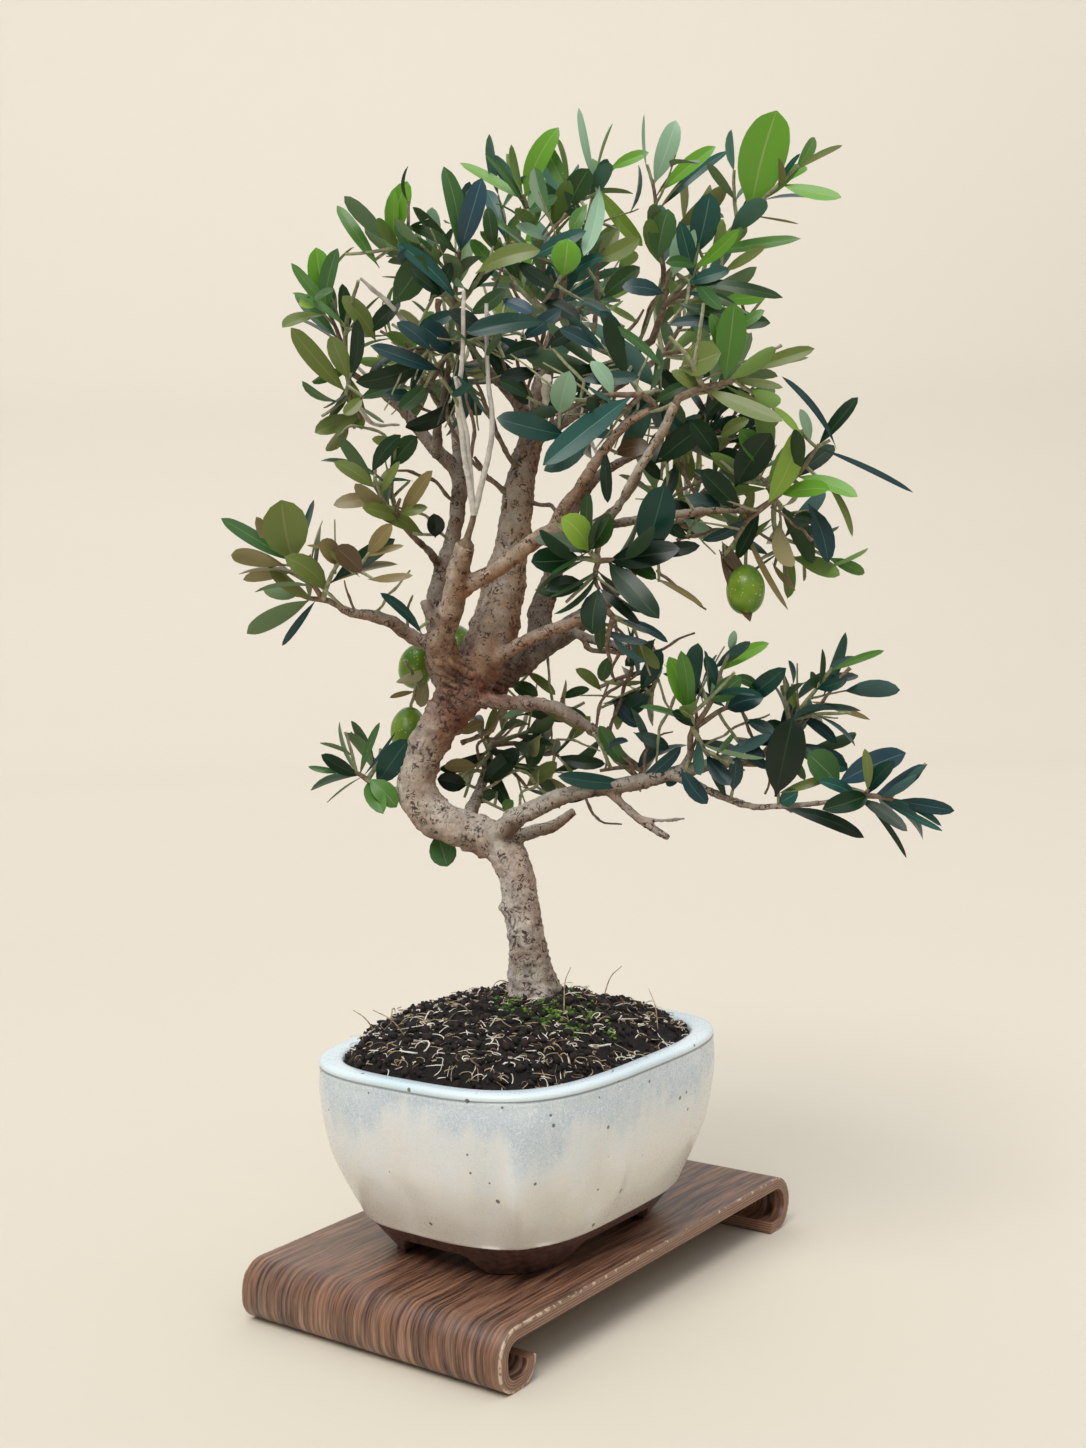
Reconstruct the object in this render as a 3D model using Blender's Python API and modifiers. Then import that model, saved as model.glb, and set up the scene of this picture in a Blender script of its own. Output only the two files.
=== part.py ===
# Olive bonsai in a glazed stoneware pot, on a bentwood stand.
#
# Frame: +Z up, the stand's board runs along Y. Sizes are in millimetres and are turned to metres when a
# mesh is made. The tree is laid out from its front: x to the right, y away from the viewer, z up, and an
# empty turns it onto the stand. Every solid keeps GAP to its neighbours.

import math
import random

import bmesh
import bpy
import numpy as np
from mathutils import Vector

MM = 0.001
GAP = 0.3

# Stand: one strip of plywood bent down at both ends
STAND_LENGTH = 200.0
STAND_WIDTH = 120.5
STAND_HEIGHT = 22.2
STAND_THICKNESS = 4.8
STAND_FLAT = 3.0  # the strip that each curl stands on
NEAR_END = dict(bend=10.2, curl=8.6, lip=95)  # radii outside, and how far the lip goes on past the floor
FAR_END = dict(bend=11.0, curl=10.7, lip=16)
ARC_STEP = 15  # degrees

# Pot: a rounded rectangle in plan that swells from the foot to the rim
POT_MIDDLE = (4.8, -10.8)
POT_HALF = (60.7, 73.5)
POT_ROUNDNESS = 3.4  # exponent of the outline, 2 is an ellipse
POT_FOOT_Z = STAND_HEIGHT + GAP
POT_RIM_Z = 95.2
GLAZE_Z = 36.2
RIM_WIDTH = 7.8
WALL = 6.5
POT_FLOOR_Z = 38.0
FOOT_INSET = 22.5
BELLY = (-12.9, -7.2, -2.8, -0.7, 0.4, 0.0)  # how far the wall stands out of the rim, from the glaze line up
WALL_LEVELS = (52.0, 80.0)  # heights where the inside of the wall is drawn
POT_SIDES = 30
ARCH_HEIGHT = 8.0
ARCH_SPANS = (42.0, 58.0)  # between the feet, along X and along Y
ARCH_SLOPE = 8.0

# Soil: fills the pot and rises to the trunk
SOIL_TOP_Z = 113.2
SOIL_EDGE_Z = 93.0
SOIL_GAP = GAP + 0.4
FOOT_PAD = 14.0  # the level top round the trunk
MOUND = ((0.82, 0.42, 4.0), (0.48, 0.70, 9.0))  # share of the way out, share of the rise, shift leftwards

# Tree
TREE_TURN = 36.2  # degrees from the stand's width to the tree's front
TRUNK_FOOT = (3.2, -12.0)
TRUNK_FOOT_Z = SOIL_TOP_Z + GAP
FLARE = 1.2  # the foot's girth over the trunk's
FLARE_HEIGHT = 16.0
ROOT_LOBES = 0.5
ROOT_COUNT = 5
SPLINE_STEP = 8.5
LIMB_SIDES = ((6, 10), (3, 7), (0, 5))  # least radius at the thickest place, sides

# Limbs: what each grows from, and the middles and radii that it passes through (x, y, z, radius)
LIMBS = {
    "trunk": (
        None,
        [(3.2, -12, 104, 9.2), (2.6, -12, 116, 9), (1, -12, 130, 7.4), (-1.5, -11, 147, 6.8),
         (-3.5, -9, 161, 7), (-10, -6, 171, 7.3), (-23, -2, 176, 7.3), (-35, 2, 181, 7.8),
         (-41.5, 4, 191, 7.8), (-39.7, 4, 200, 7), (-35.5, 3, 210, 7.3), (-29, 2, 220, 8.2),
         (-21, 2, 231, 10), (-11, 4, 249, 9.3), (-5.6, 8, 268, 8.2), (-1.3, 12, 288, 6.7),
         (1.5, 15, 308, 5.9), (5, 16, 321, 5.3), (11, 16, 343, 3.9), (15.4, 14, 362, 2.7)],
    ),
    "bough_left": (
        "trunk",
        [(-20, 1, 228, 6), (-27, -3, 240, 6.6), (-30, -6, 248, 6.1), (-27.5, -10, 256.5, 5),
         (-24, -14, 265, 4.5), (-21.5, -18, 276, 4.1), (-18.5, -22, 285, 3.9)],
    ),
    "bough_left_stub": ("bough_left", [(-28, -9, 256, 2.6), (-32, -12, 258, 2.3), (-35, -12, 265, 2.1)]),
    "bough_left_back": (
        "bough_left",
        [(-29, 0, 243, 3), (-33, 12, 258, 3.8), (-29.7, 16, 276, 3.6), (-25.6, 20, 289, 3.4),
         (-23, 22, 302, 3.2), (-23, 24, 315, 3), (-33, 26, 327, 2.7), (-43, 28, 340, 2.3),
         (-53, 28, 349, 1.8), (-62, 26, 355, 1.3)],
    ),
    "bough_left_low": (
        "bough_left",
        [(-29, -4, 246, 2.8), (-41, -6, 251.5, 2.9), (-48, -10, 257, 2.6), (-55, -12, 259.5, 2.2),
         (-63, -14, 261, 1.7), (-69, -15, 264.5, 1.2)],
    ),
    "bough_left_mid": ("bough_left_back", [(-29.5, 17, 277, 1.9), (-34, 10, 284, 1.6), (-39, 4, 289, 1.2)]),
    "bough_cross": (
        "bough_left",
        [(-22.5, -13, 267, 2.8), (-13.7, -18, 272.5, 3.1), (-6.3, -21, 276, 3), (6, -26, 285, 3.1),
         (14.6, -30, 290, 3.1), (19, -33, 298, 2.4), (24, -36, 304, 2.2), (32, -40, 315.5, 2),
         (41, -43, 326, 1.7), (50, -44, 331, 1.3)],
    ),
    "bough_right_front": (
        "bough_cross",
        [(14, -30, 289, 2), (24, -37, 290, 2), (33, -43, 290, 1.9), (53, -38, 293, 1.7),
         (74, -30, 295, 1.5), (88, -25, 295, 1.2)],
    ),
    "bough_front": (
        "bough_right_front",
        [(33, -43.5, 290, 1.3), (38, -49, 297, 1.6), (45, -53, 309, 1.7), (53, -55, 321, 1.8),
         (58, -56, 331, 1.9)],
    ),
    "spur_centre": ("bough_right_front", [(32.5, -43.5, 290, 1.2), (31, -48, 285.5, 1.2),
                                          (30, -50, 281.5, 1.1)]),
    "bough_right_back": (
        "trunk",
        [(-17, 3, 228, 6.4), (-9.7, 11, 233, 6.3), (-1.8, 19, 239, 6.1), (9, 28, 246, 5.5),
         (21, 38, 253, 4.8), (36, 50, 264, 3.6), (50, 61, 279, 2.5), (57, 67, 289, 1.7)],
    ),
    "bough_right_up": (
        "bough_right_back",
        [(8, 28.5, 247, 4.6), (9, 32, 260, 4.9), (13, 35, 270, 4.2), (16, 37, 281, 3.8), (21, 38, 297, 3),
         (30, 34, 311, 2.4), (43, 24, 319, 1.8), (53, 18, 322, 1.3)],
    ),
    "bough_inner": (
        "trunk",
        [(-12, 0, 240, 2.6), (-1, -9, 246.5, 2.7), (8.5, -14, 251, 2.5), (23, -19, 256, 2.2),
         (31, -22, 259, 1.6)],
    ),
    "bough_low_cross": (
        "trunk",
        [(-19, -1, 227, 2.8), (-8, -7, 225.5, 3), (12, -9, 223.4, 2.6), (23, -8, 217, 2.3),
         (30.5, -8, 211, 1.9), (37, -8, 202, 1.5), (43, -8, 197, 1.2)],
    ),
    "bough_low_right": (
        "trunk",
        [(-11, -7, 173, 4), (-2.8, -15, 181, 3.8), (10, -18, 187.5, 3.4), (20, -20, 191, 3.2),
         (33, -22, 193, 3), (45, -24, 195, 2.9), (62, -26, 199, 2.6), (76, -28, 202, 2.1),
         (85, -28, 201.5, 1.6)],
    ),
    "bough_low_tip": (
        "bough_low_right",
        [(56, -25.5, 197.5, 1.6), (66, -31, 193.5, 1.6), (76, -34, 189, 1.5), (85, -36, 186, 1.4),
         (93, -38, 186, 1.3), (105, -42, 187, 1.1), (119, -46, 189, 0.9)],
    ),
    "spur_low_right": ("bough_low_right", [(60, -26, 199, 1.5), (63, -31, 205, 1.5), (63, -33, 210, 1.2)]),
    "twig_bare": ("bough_low_right", [(32, -22, 192.5, 1.6), (44, -24, 181, 1.7), (55, -26, 173.5, 1.3)]),
    "twig_bare_fork": ("twig_bare", [(43, -24, 182, 0.8), (52, -26, 180.5, 0.8), (61, -27, 181, 0.7)]),
    "bough_low_stub": ("trunk", [(-6, -6, 172, 2.6), (5, -5, 175, 2.6), (12.5, -4, 177, 2.3),
                                 (20, -2, 182, 1.7)]),
    "bough_right_inner": ("bough_right_back", [(20, 36, 252, 2), (27, 24, 249, 1.9), (37, 15, 246, 1.9),
                                               (52, 8, 242, 1.7)]),
    "bough_top_right": ("trunk", [(10, 16, 341, 2.6), (28, 10, 350, 2.4), (43, 4, 356, 2),
                                  (52, 0, 361, 1.5)]),
    "bough_top_left": ("trunk", [(8, 16, 333, 2.6), (-3, 8, 347, 2.3), (-12, 2, 356, 1.9),
                                 (-16, -2, 363, 1.4)]),
    "bough_inner_left": ("bough_left_back", [(-31, 25, 322, 2), (-30, 18, 334, 1.8), (-27, 12, 344, 1.6),
                                             (-25, 8, 352, 1.2)]),
    "bough_back_top": ("trunk", [(5, 17, 321, 3), (8, 32, 343, 2.6), (13, 50, 366, 1.6)]),
    "bough_back_left": ("bough_left_back", [(-22.5, 24, 309, 2.2), (-24, 42, 331, 2), (-28, 59, 350, 1.4)]),
    "bough_back_right": ("trunk", [(5.5, 16, 325, 2.8), (31, 32, 343, 2.3), (51, 44, 356, 1.5)]),
    "spur_low_left": ("trunk", [(-41, 4, 189, 1.8), (-50, 8, 190.5, 1.6), (-55, 10, 192, 1.2)]),
    "spur_fork": ("trunk", [(-27, 4, 228, 2), (-33, 18, 232, 1.7), (-36, 23, 237, 1.2)]),
    "bough_low_back": ("trunk", [(-23, 0, 177, 3), (-18, 20, 187, 2.4), (-14, 31, 199, 1.6)]),
}

# Masses of foliage: the limb that each grows from, the heart where its shoots part, the middle and the
# half-sizes of its space, and the tips of its main shoots. leaves are those that draw the crown's
# outline, as root, tip and width, and fruit are olives, as stalk and middle.
MASSES = {
    "foliage_top": dict(
        limb="trunk", heart=(16, 12, 374), middle=(18, 6, 406), half=(44, 38, 52),
        shoots=[(6, -2, 418), (34, 2, 425), (21, -22, 388), (-4, 26, 408), (36, 32, 403)],
        leaves=[((5, -4, 419), (20, -8, 441), 9), ((3, 2, 416), (-18, 8, 433), 5.5),
                ((32, 2, 427), (28, 2, 451), 3), ((37, 4, 425), (52, 14, 401), 6),
                ((35, -4, 420), (28, -24, 390), 7)],
    ),
    "foliage_top_right": dict(
        limb="bough_top_right", heart=(59, -4, 375), middle=(85, -14, 400), half=(52, 40, 51),
        shoots=[(55, -8, 421), (107, -30, 419), (80, -20, 384), (79, 5, 378)],
        leaves=[((88, -24, 404), (99, -30, 439), 17.5), ((54, -8, 420), (64, -10, 442), 8),
                ((56, -8, 409), (85, 4, 434), 4), ((70, -16, 391), (75, -22, 412), 11),
                ((102, -28, 411), (121, -36, 406), 6), ((106, -30, 418), (122, -34, 425), 2.5),
                ((75, -18, 390), (107, -30, 393), 5.5)],
    ),
    "foliage_top_left": dict(
        limb="bough_top_left", heart=(-21, -6, 375), middle=(-28, -8, 400), half=(44, 34, 38),
        shoots=[(-18, -14, 395), (-45, -10, 400), (-30, 16, 402), (-7, -22, 389)],
        leaves=[((-17, -14, 393), (-23, -18, 425), 8.5), ((-16, -16, 396), (-9, -20, 420), 8.5),
                ((-46, -10, 403), (-37, -14, 421), 9), ((-49, -6, 391), (-65, 0, 416), 5),
                ((-44, -14, 376), (-31, -24, 391), 12)],
    ),
    "foliage_left_high": dict(
        limb="bough_left_back", heart=(-66, 20, 360), middle=(-70, 12, 365), half=(30, 32, 42),
        shoots=[(-72, 16, 380), (-64, 2, 345), (-60, 12, 336), (-57, -8, 386)],
        leaves=[((-71, 16, 383), (-75, 12, 403), 9.5), ((-67, 12, 375), (-84, 6, 396), 5.5),
                ((-64, 0, 346), (-83, -8, 369), 9.5), ((-59, 12, 336), (-77, 6, 331), 8),
                ((-62, 0, 350), (-58, -6, 372), 7)],
    ),
    "foliage_inner_left": dict(
        limb="bough_inner_left", heart=(-24, 2, 360), middle=(-24, -4, 355), half=(40, 38, 28),
        shoots=[(-42, -10, 359), (-12, -8, 342), (-36, 22, 346), (-5, -30, 361)],
        leaves=[((-26, -20, 350), (-51, -31, 358), 7), ((-18, -18, 355), (-32, -29, 365), 11)],
    ),
    "foliage_front_left": dict(
        limb="bough_left", heart=(-15, -26, 296), middle=(-14, -40, 338), half=(15, 18, 48),
        shoots=[(-20, -38, 345), (-16, -42, 375), (-8, -38, 371)], bare=2,
        leaves=[],
    ),
    "foliage_front": dict(
        limb="bough_cross", heart=(47, -47, 336), middle=(30, -46, 333), half=(42, 36, 34),
        shoots=[(34, -44, 326), (33, -34, 356), (16, -48, 329), (56, -36, 338)],
        leaves=[((44, -51, 335), (11, -66, 310), 11), ((20, -48, 322), (-5, -54, 328), 10),
                ((16, -52, 330), (21, -60, 343), 9)],
    ),
    "foliage_front_right": dict(
        limb="bough_front", heart=(68, -55, 337), middle=(86, -50, 344), half=(34, 30, 28),
        shoots=[(90, -50, 345), (56, -60, 354), (73, -46, 332)],
        leaves=[((75, -54, 342), (79, -60, 365), 10.5), ((83, -52, 347), (107, -58, 349), 5),
                ((69, -56, 336), (94, -68, 323), 6), ((60, -52, 344), (74, -60, 348), 13),
                ((90, -50, 343), (107, -44, 348), 2)],
    ),
    "foliage_right": dict(
        limb="bough_right_front", heart=(96, -28, 299), middle=(105, -27, 297), half=(47, 36, 50),
        shoots=[(112, -34, 318), (106, -18, 291), (87, -10, 313), (100, -14, 277), (80, -37, 283)],
        leaves=[((92, -32, 300), (104, -40, 323), 8), ((96, -33, 300), (114, -44, 301), 7.5),
                ((104, -32, 307), (124, -44, 298), 6), ((109, -26, 297), (115, -32, 275), 8),
                ((113, -34, 316), (147, -30, 300), 2.6), ((82, -26, 304), (94, -38, 322), 12),
                ((76, -23, 281), (86, -32, 254), 6.5), ((85, -24, 290), (100, -32, 258), 3)],
        fruit=[((86, -24, 281), (85, -28, 266))],
    ),
    "foliage_centre": dict(
        limb="spur_centre", heart=(30, -52, 277), middle=(33, -57, 276), half=(34, 27, 36),
        shoots=[(30, -52, 267), (22, -59, 284), (47, -56, 279), (16, -50, 277)],
        leaves=[((27, -56, 280), (17, -64, 292), 11), ((33, -54, 276), (50, -68, 256), 9),
                ((32, -56, 279), (58, -64, 280), 10), ((30, -52, 267), (27, -58, 251), 9.5),
                ((22, -52, 277), (6, -57, 277), 10), ((47, -56, 281), (53, -66, 302), 13)],
    ),
    "foliage_left_spray": dict(
        limb="bough_left_low", heart=(-73, -16, 266), middle=(-77, -19, 275), half=(44, 26, 34),
        shoots=[(-84, -20, 281), (-63, -24, 283), (-84, -8, 268)],
        leaves=[((-85, -20, 281), (-109, -24, 297), 7.5), ((-84, -20, 282), (-86, -27, 303), 17),
                ((-82, -18, 282), (-76, -11, 304), 3.5), ((-71, -20, 268), (-85, -30, 282), 9),
                ((-76, -15, 266), (-90, -10, 249), 3), ((-63, -26, 278), (-72, -34, 286), 9),
                ((-68, -20, 272), (-45, -20, 288), 6.5)],
    ),
    "foliage_left_mid": dict(
        limb="bough_left_mid", heart=(-44, -2, 295), middle=(-52, -2, 308), half=(26, 28, 26),
        shoots=[(-54, -6, 310), (-48, 14, 317), (-43, -16, 303)],
        leaves=[((-51, -6, 309), (-68, -10, 318), 6.5), ((-52, -4, 303), (-69, -8, 302), 6.5),
                ((-41, -5, 297), (-57, -18, 300), 6.5), ((-54, -8, 314), (-42, -16, 327), 6.5)],
    ),
    "foliage_low_left": dict(
        limb="spur_low_left", heart=(-61, 10, 195), middle=(-64, 10, 199), half=(28, 26, 24),
        shoots=[(-70, 8, 199), (-57, 24, 206)],
        leaves=[((-63, 8, 198), (-55, 4, 218), 4), ((-64, 8, 197), (-78, 2, 206), 5.5),
                ((-70, 8, 200), (-84, 8, 201), 3), ((-61, 8, 194), (-54, -4, 183), 8)],
    ),
    "fruit_fork": dict(
        limb="spur_fork", heart=(-38, 26, 243), middle=(-37, 24, 230), half=(22, 26, 28),
        shoots=[(-30, 28, 252), (-43, 24, 226)],
        leaves=[((-42, 24, 229), (-52, 18, 227), 3)],
        fruit=[((-40, 28, 246), (-42, 31, 239)), ((-28, 28, 254), (-25, 24, 247)),
               ((-44, 24, 224), (-45, 19, 214))],
    ),
    "foliage_low_back": dict(
        limb="bough_low_back", heart=(-13, 36, 206), middle=(-1, 36, 204), half=(40, 32, 34),
        shoots=[(-22, 42, 220), (4, 34, 226), (15, 30, 201), (-18, 20, 198), (2, 28, 188), (26, 42, 222)],
        leaves=[],
    ),
    "foliage_low_centre": dict(
        limb="bough_inner", heart=(36, -22, 257), middle=(41, -18, 248), half=(24, 24, 20),
        shoots=[(35, -18, 240), (52, -16, 250)],
        leaves=[((38, -20, 256), (56, -26, 247), 4)],
    ),
    "foliage_right_inner": dict(
        limb="bough_right_inner", heart=(55, 6, 236), middle=(46, 8, 225), half=(26, 26, 22),
        shoots=[(41, 14, 221), (51, 0, 216), (31, 20, 229)],
        leaves=[((38, 10, 218), (50, -3, 226), 8)],
    ),
    "foliage_low_right_in": dict(
        limb="bough_low_cross", heart=(47, -10, 198), middle=(40, -12, 205), half=(28, 26, 20),
        shoots=[(34, 4, 214), (53, -10, 211), (30, -18, 199)],
        leaves=[((42, -12, 203), (30, -18, 216), 6), ((45, -12, 201), (54, -14, 210), 5)],
    ),
    "foliage_low_right": dict(
        limb="spur_low_right", heart=(64, -35, 215), middle=(74, -34, 222), half=(34, 26, 33),
        shoots=[(75, -34, 237), (62, -38, 222), (88, -30, 226), (70, -38, 203)],
        leaves=[((75, -34, 237), (92, -38, 246), 5), ((62, -38, 222), (55, -43, 242), 8),
                ((69, -36, 226), (81, -44, 234), 8), ((84, -34, 226), (97, -46, 237), 7.5),
                ((78, -34, 221), (89, -43, 226), 9), ((69, -37, 206), (76, -46, 195), 6.5)],
    ),
    "foliage_low_right_back": dict(
        limb="bough_low_right", heart=(93, -27, 207), middle=(112, -24, 220), half=(36, 28, 32),
        shoots=[(106, -24, 220), (117, -26, 236), (107, -10, 206)],
        leaves=[((102, -28, 213), (99, -42, 221), 10), ((106, -26, 221), (97, -30, 230), 5),
                ((113, -24, 227), (122, -30, 232), 5), ((117, -26, 235), (136, -28, 242), 3),
                ((109, -24, 222), (132, -20, 216), 2.6), ((104, -18, 207), (122, -22, 201), 7.5)],
    ),
    "foliage_low_right_tip": dict(
        limb="bough_low_tip", heart=(126, -46, 190), middle=(124, -46, 188), half=(34, 26, 28),
        shoots=[(136, -46, 188), (115, -40, 194), (124, -56, 193)],
        leaves=[((115, -42, 194), (138, -55, 206), 9.5), ((128, -46, 191), (146, -48, 201), 5),
                ((124, -54, 192), (123, -57, 208), 4), ((122, -48, 190), (138, -56, 178), 6.5),
                ((131, -46, 189), (153, -44, 178), 3.6), ((121, -50, 190), (106, -58, 197), 6),
                ((124, -48, 188), (141, -40, 166), 2.6), ((116, -42, 193), (104, -48, 206), 12)],
    ),
    "foliage_inner_right": dict(
        limb="bough_right_up", heart=(60, 14, 322), middle=(73, 8, 324), half=(36, 32, 30),
        shoots=[(80, 4, 328), (57, 0, 336), (71, -6, 308), (93, 18, 326)],
        leaves=[((56, -2, 318), (72, -16, 329), 10)],
    ),
    "foliage_back_low": dict(
        limb="bough_right_back", heart=(62, 73, 298), middle=(70, 72, 308), half=(38, 34, 32),
        shoots=[(88, 80, 319), (58, 90, 321), (77, 60, 293), (90, 58, 306)],
        leaves=[],
    ),
    "foliage_back_top": dict(
        limb="bough_back_top", heart=(17, 63, 381), middle=(18, 70, 395), half=(42, 40, 40),
        shoots=[(0, 66, 416), (42, 72, 420), (21, 100, 398), (-10, 80, 385), (46, 84, 393)],
        leaves=[],
    ),
    "foliage_back_left": dict(
        limb="bough_back_left", heart=(-31, 70, 362), middle=(-35, 72, 372), half=(38, 38, 36),
        shoots=[(-56, 70, 380), (-30, 70, 397), (-46, 94, 358), (-20, 100, 377)],
        leaves=[],
    ),
    "foliage_back_right": dict(
        limb="bough_back_right", heart=(62, 53, 365), middle=(74, 54, 375), half=(36, 36, 36),
        shoots=[(86, 56, 391), (63, 68, 399), (92, 48, 365), (76, 82, 367)],
        leaves=[],
    ),
}

# Growth
SEED = 34
STEM_RADIUS = 1.5
STEM_LEAD = 2.0
SHOOT_RADII = (1.15, 0.65)
SHOOT_BOW = 0.08
SHOOT_DRAWS = 8
SIDE_RADII = (0.85, 0.6)
FRONT = (0.1, -1.0, 0.35)  # the way that the leaves of the outline look
LEAF_LENGTH = 25.0
LEAF_SLENDER = 0.3  # width over length
LEAF_WIDEST = 0.45  # share of the way from root to tip
LEAF_THICKNESS = 1.0
LEAF_APART = 4.0
PAIR_STEP = 18.0
PETIOLE = 5.0  # a leaf further off than this hangs from a twig of its own
LEAF_ANGLE = 52  # degrees from the shoot
SIDE_SHOOTS = 1
SIDE_LENGTH = (16, 28)
SPACE_MARGIN = 0.035
LIMB_CLEARANCE = 1.4
OLIVE = (7.2, 9.6)  # half-sizes across and along

COLOURS = {
    "stand": (0.16, 0.07, 0.045, 0.45),
    "pot": (0.62, 0.66, 0.64, 0.28),
    "soil": (0.03, 0.022, 0.016, 0.95),
    "bark": (0.24, 0.17, 0.12, 0.85),
    "leaf": (0.06, 0.14, 0.03, 0.5),
}

partCollection = bpy.data.collections.new("olive_bonsai")
cutterCollection = bpy.data.collections.new("cutters")


def clear_scene():
    for obj in list(bpy.data.objects):
        bpy.data.objects.remove(obj, do_unlink=True)
    bpy.context.scene.collection.children.link(partCollection)
    bpy.context.scene.collection.children.link(cutterCollection)


def material(kind):
    found = bpy.data.materials.get(kind)
    if found:
        return found
    *colour, roughness = COLOURS[kind]
    made = bpy.data.materials.new(kind)
    made.use_nodes = True
    shader = made.node_tree.nodes["Principled BSDF"]
    shader.inputs["Base Color"].default_value = (*colour, 1)
    shader.inputs["Roughness"].default_value = roughness
    shader.inputs["Metallic"].default_value = 0
    return made


def face_outwards(bm):
    bmesh.ops.recalc_face_normals(bm, faces=bm.faces)
    if bm.calc_volume(signed=True) < 0:
        bmesh.ops.reverse_faces(bm, faces=bm.faces)


def new_object(name, bm, kind=None, collection=None):
    mesh = bpy.data.meshes.new(name)
    bm.to_mesh(mesh)
    bm.free()
    obj = bpy.data.objects.new(name, mesh)
    (collection or partCollection).objects.link(obj)
    if kind:
        mesh.materials.append(material(kind))
    return obj


def hide_cutter(obj):
    obj.hide_render = True
    obj.display_type = "WIRE"


def apply_modifiers(obj):
    """Replaces the object's mesh with what its modifiers make of it."""
    graph = bpy.context.evaluated_depsgraph_get()
    mesh = bpy.data.meshes.new_from_object(obj.evaluated_get(graph))
    obj.modifiers.clear()
    obj.data = mesh


def remove(objects):
    for obj in list(objects):
        bpy.data.objects.remove(obj, do_unlink=True)


# Stand


def arc(middle, radius, start, end):
    steps = max(2, round(abs(end - start) / ARC_STEP))
    angles = [math.radians(start + (end - start) * i / steps) for i in range(steps + 1)]
    return [(middle[0] + radius * math.cos(a), middle[1] + radius * math.sin(a)) for a in angles]


def curled_end(bend, curl, lip):
    """The outer face of one half of the board, from its middle round to the lip, as (out, up)."""
    out = STAND_LENGTH / 2
    points = [(0, STAND_HEIGHT)]
    points += arc((out - bend, STAND_HEIGHT - bend), bend, 90, 0)
    points += arc((out - curl, curl), curl, 0, -90)
    points += arc((out - curl - STAND_FLAT, curl), curl, -90, -90 - lip)
    return points


def make_stand():
    near = [(-out, up) for out, up in curled_end(**NEAR_END)]
    far = curled_end(**FAR_END)
    outline = near[::-1] + far[1:]
    bm = bmesh.new()
    verts = [bm.verts.new((-STAND_WIDTH / 2 * MM, y * MM, z * MM)) for y, z in outline]
    edges = [bm.edges.new(pair) for pair in zip(verts, verts[1:])]
    swept = bmesh.ops.extrude_edge_only(bm, edges=edges)
    moved = [item for item in swept["geom"] if isinstance(item, bmesh.types.BMVert)]
    bmesh.ops.translate(bm, verts=moved, vec=(STAND_WIDTH * MM, 0, 0))
    face_outwards(bm)
    stand = new_object("stand", bm, "stand")
    if max(stand.data.polygons, key=lambda face: face.area).normal.z < 0:
        stand.data.flip_normals()
    thick = stand.modifiers.new("board", "SOLIDIFY")
    thick.thickness = STAND_THICKNESS * MM
    thick.offset = -1
    thick.use_even_offset = True
    return stand


# Pot and soil


def outline_ring(half, z, middle=POT_MIDDLE, roundness=POT_ROUNDNESS):
    """Points of a rounded rectangle, from a circle's angles."""
    ring = []
    for i in range(POT_SIDES):
        angle = 2 * math.pi * i / POT_SIDES
        c, s = math.cos(angle), math.sin(angle)
        reach = (abs(c) ** roundness + abs(s) ** roundness) ** (-1 / roundness)
        ring.append(Vector((middle[0] + half[0] * reach * c, middle[1] + half[1] * reach * s, z)) * MM)
    return ring


def inset_ring(offset, z):
    return outline_ring((POT_HALF[0] + offset, POT_HALF[1] + offset), z)


def loft(name, rings, kind):
    """Joins rings of equal count, each extruded from the last, and caps both ends."""
    bm = bmesh.new()
    made = bmesh.ops.create_circle(bm, cap_ends=True, segments=len(rings[0]), radius=MM)
    loop = made["verts"]
    for vert, place in zip(loop, rings[0]):
        vert.co = place
    edges = list(bm.edges)
    for ring in rings[1:]:
        grown = bmesh.ops.extrude_edge_only(bm, edges=edges)["geom"]
        edges = [item for item in grown if isinstance(item, bmesh.types.BMEdge)]
        loop = [next(e.other_vert(v) for e in v.link_edges if e.other_vert(v) in grown) for v in loop]
        for vert, place in zip(loop, ring):
            vert.co = place
    bmesh.ops.edgeloop_fill(bm, edges=[e for e in bm.edges if e.is_boundary])
    face_outwards(bm)
    return new_object(name, bm, kind)


def wall_offset(z):
    """How far the pot's outside stands out of the rim at a height."""
    share = (z - GLAZE_Z) / (POT_RIM_Z - GLAZE_Z) * (len(BELLY) - 1)
    return float(np.interp(share, range(len(BELLY)), BELLY))


def arch_cutter(name, axis, span, length):
    """A tunnel under the pot whose roof is narrower than its mouth."""
    bm = bmesh.new()
    bmesh.ops.create_cube(bm, size=1)
    low, high = POT_FOOT_Z - ARCH_HEIGHT, POT_FOOT_Z + ARCH_HEIGHT
    for vert in bm.verts:
        top = vert.co.z > 0
        across = math.copysign(span / 2 - (ARCH_SLOPE if top else -ARCH_SLOPE), vert.co[axis])
        along = math.copysign(length / 2, vert.co[1 - axis])
        place = [0, 0, high if top else low]
        place[axis] = POT_MIDDLE[axis] + across
        place[1 - axis] = POT_MIDDLE[1 - axis] + along
        vert.co = Vector(place) * MM
    cutter = new_object(name, bm, collection=cutterCollection)
    hide_cutter(cutter)
    return cutter


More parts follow.
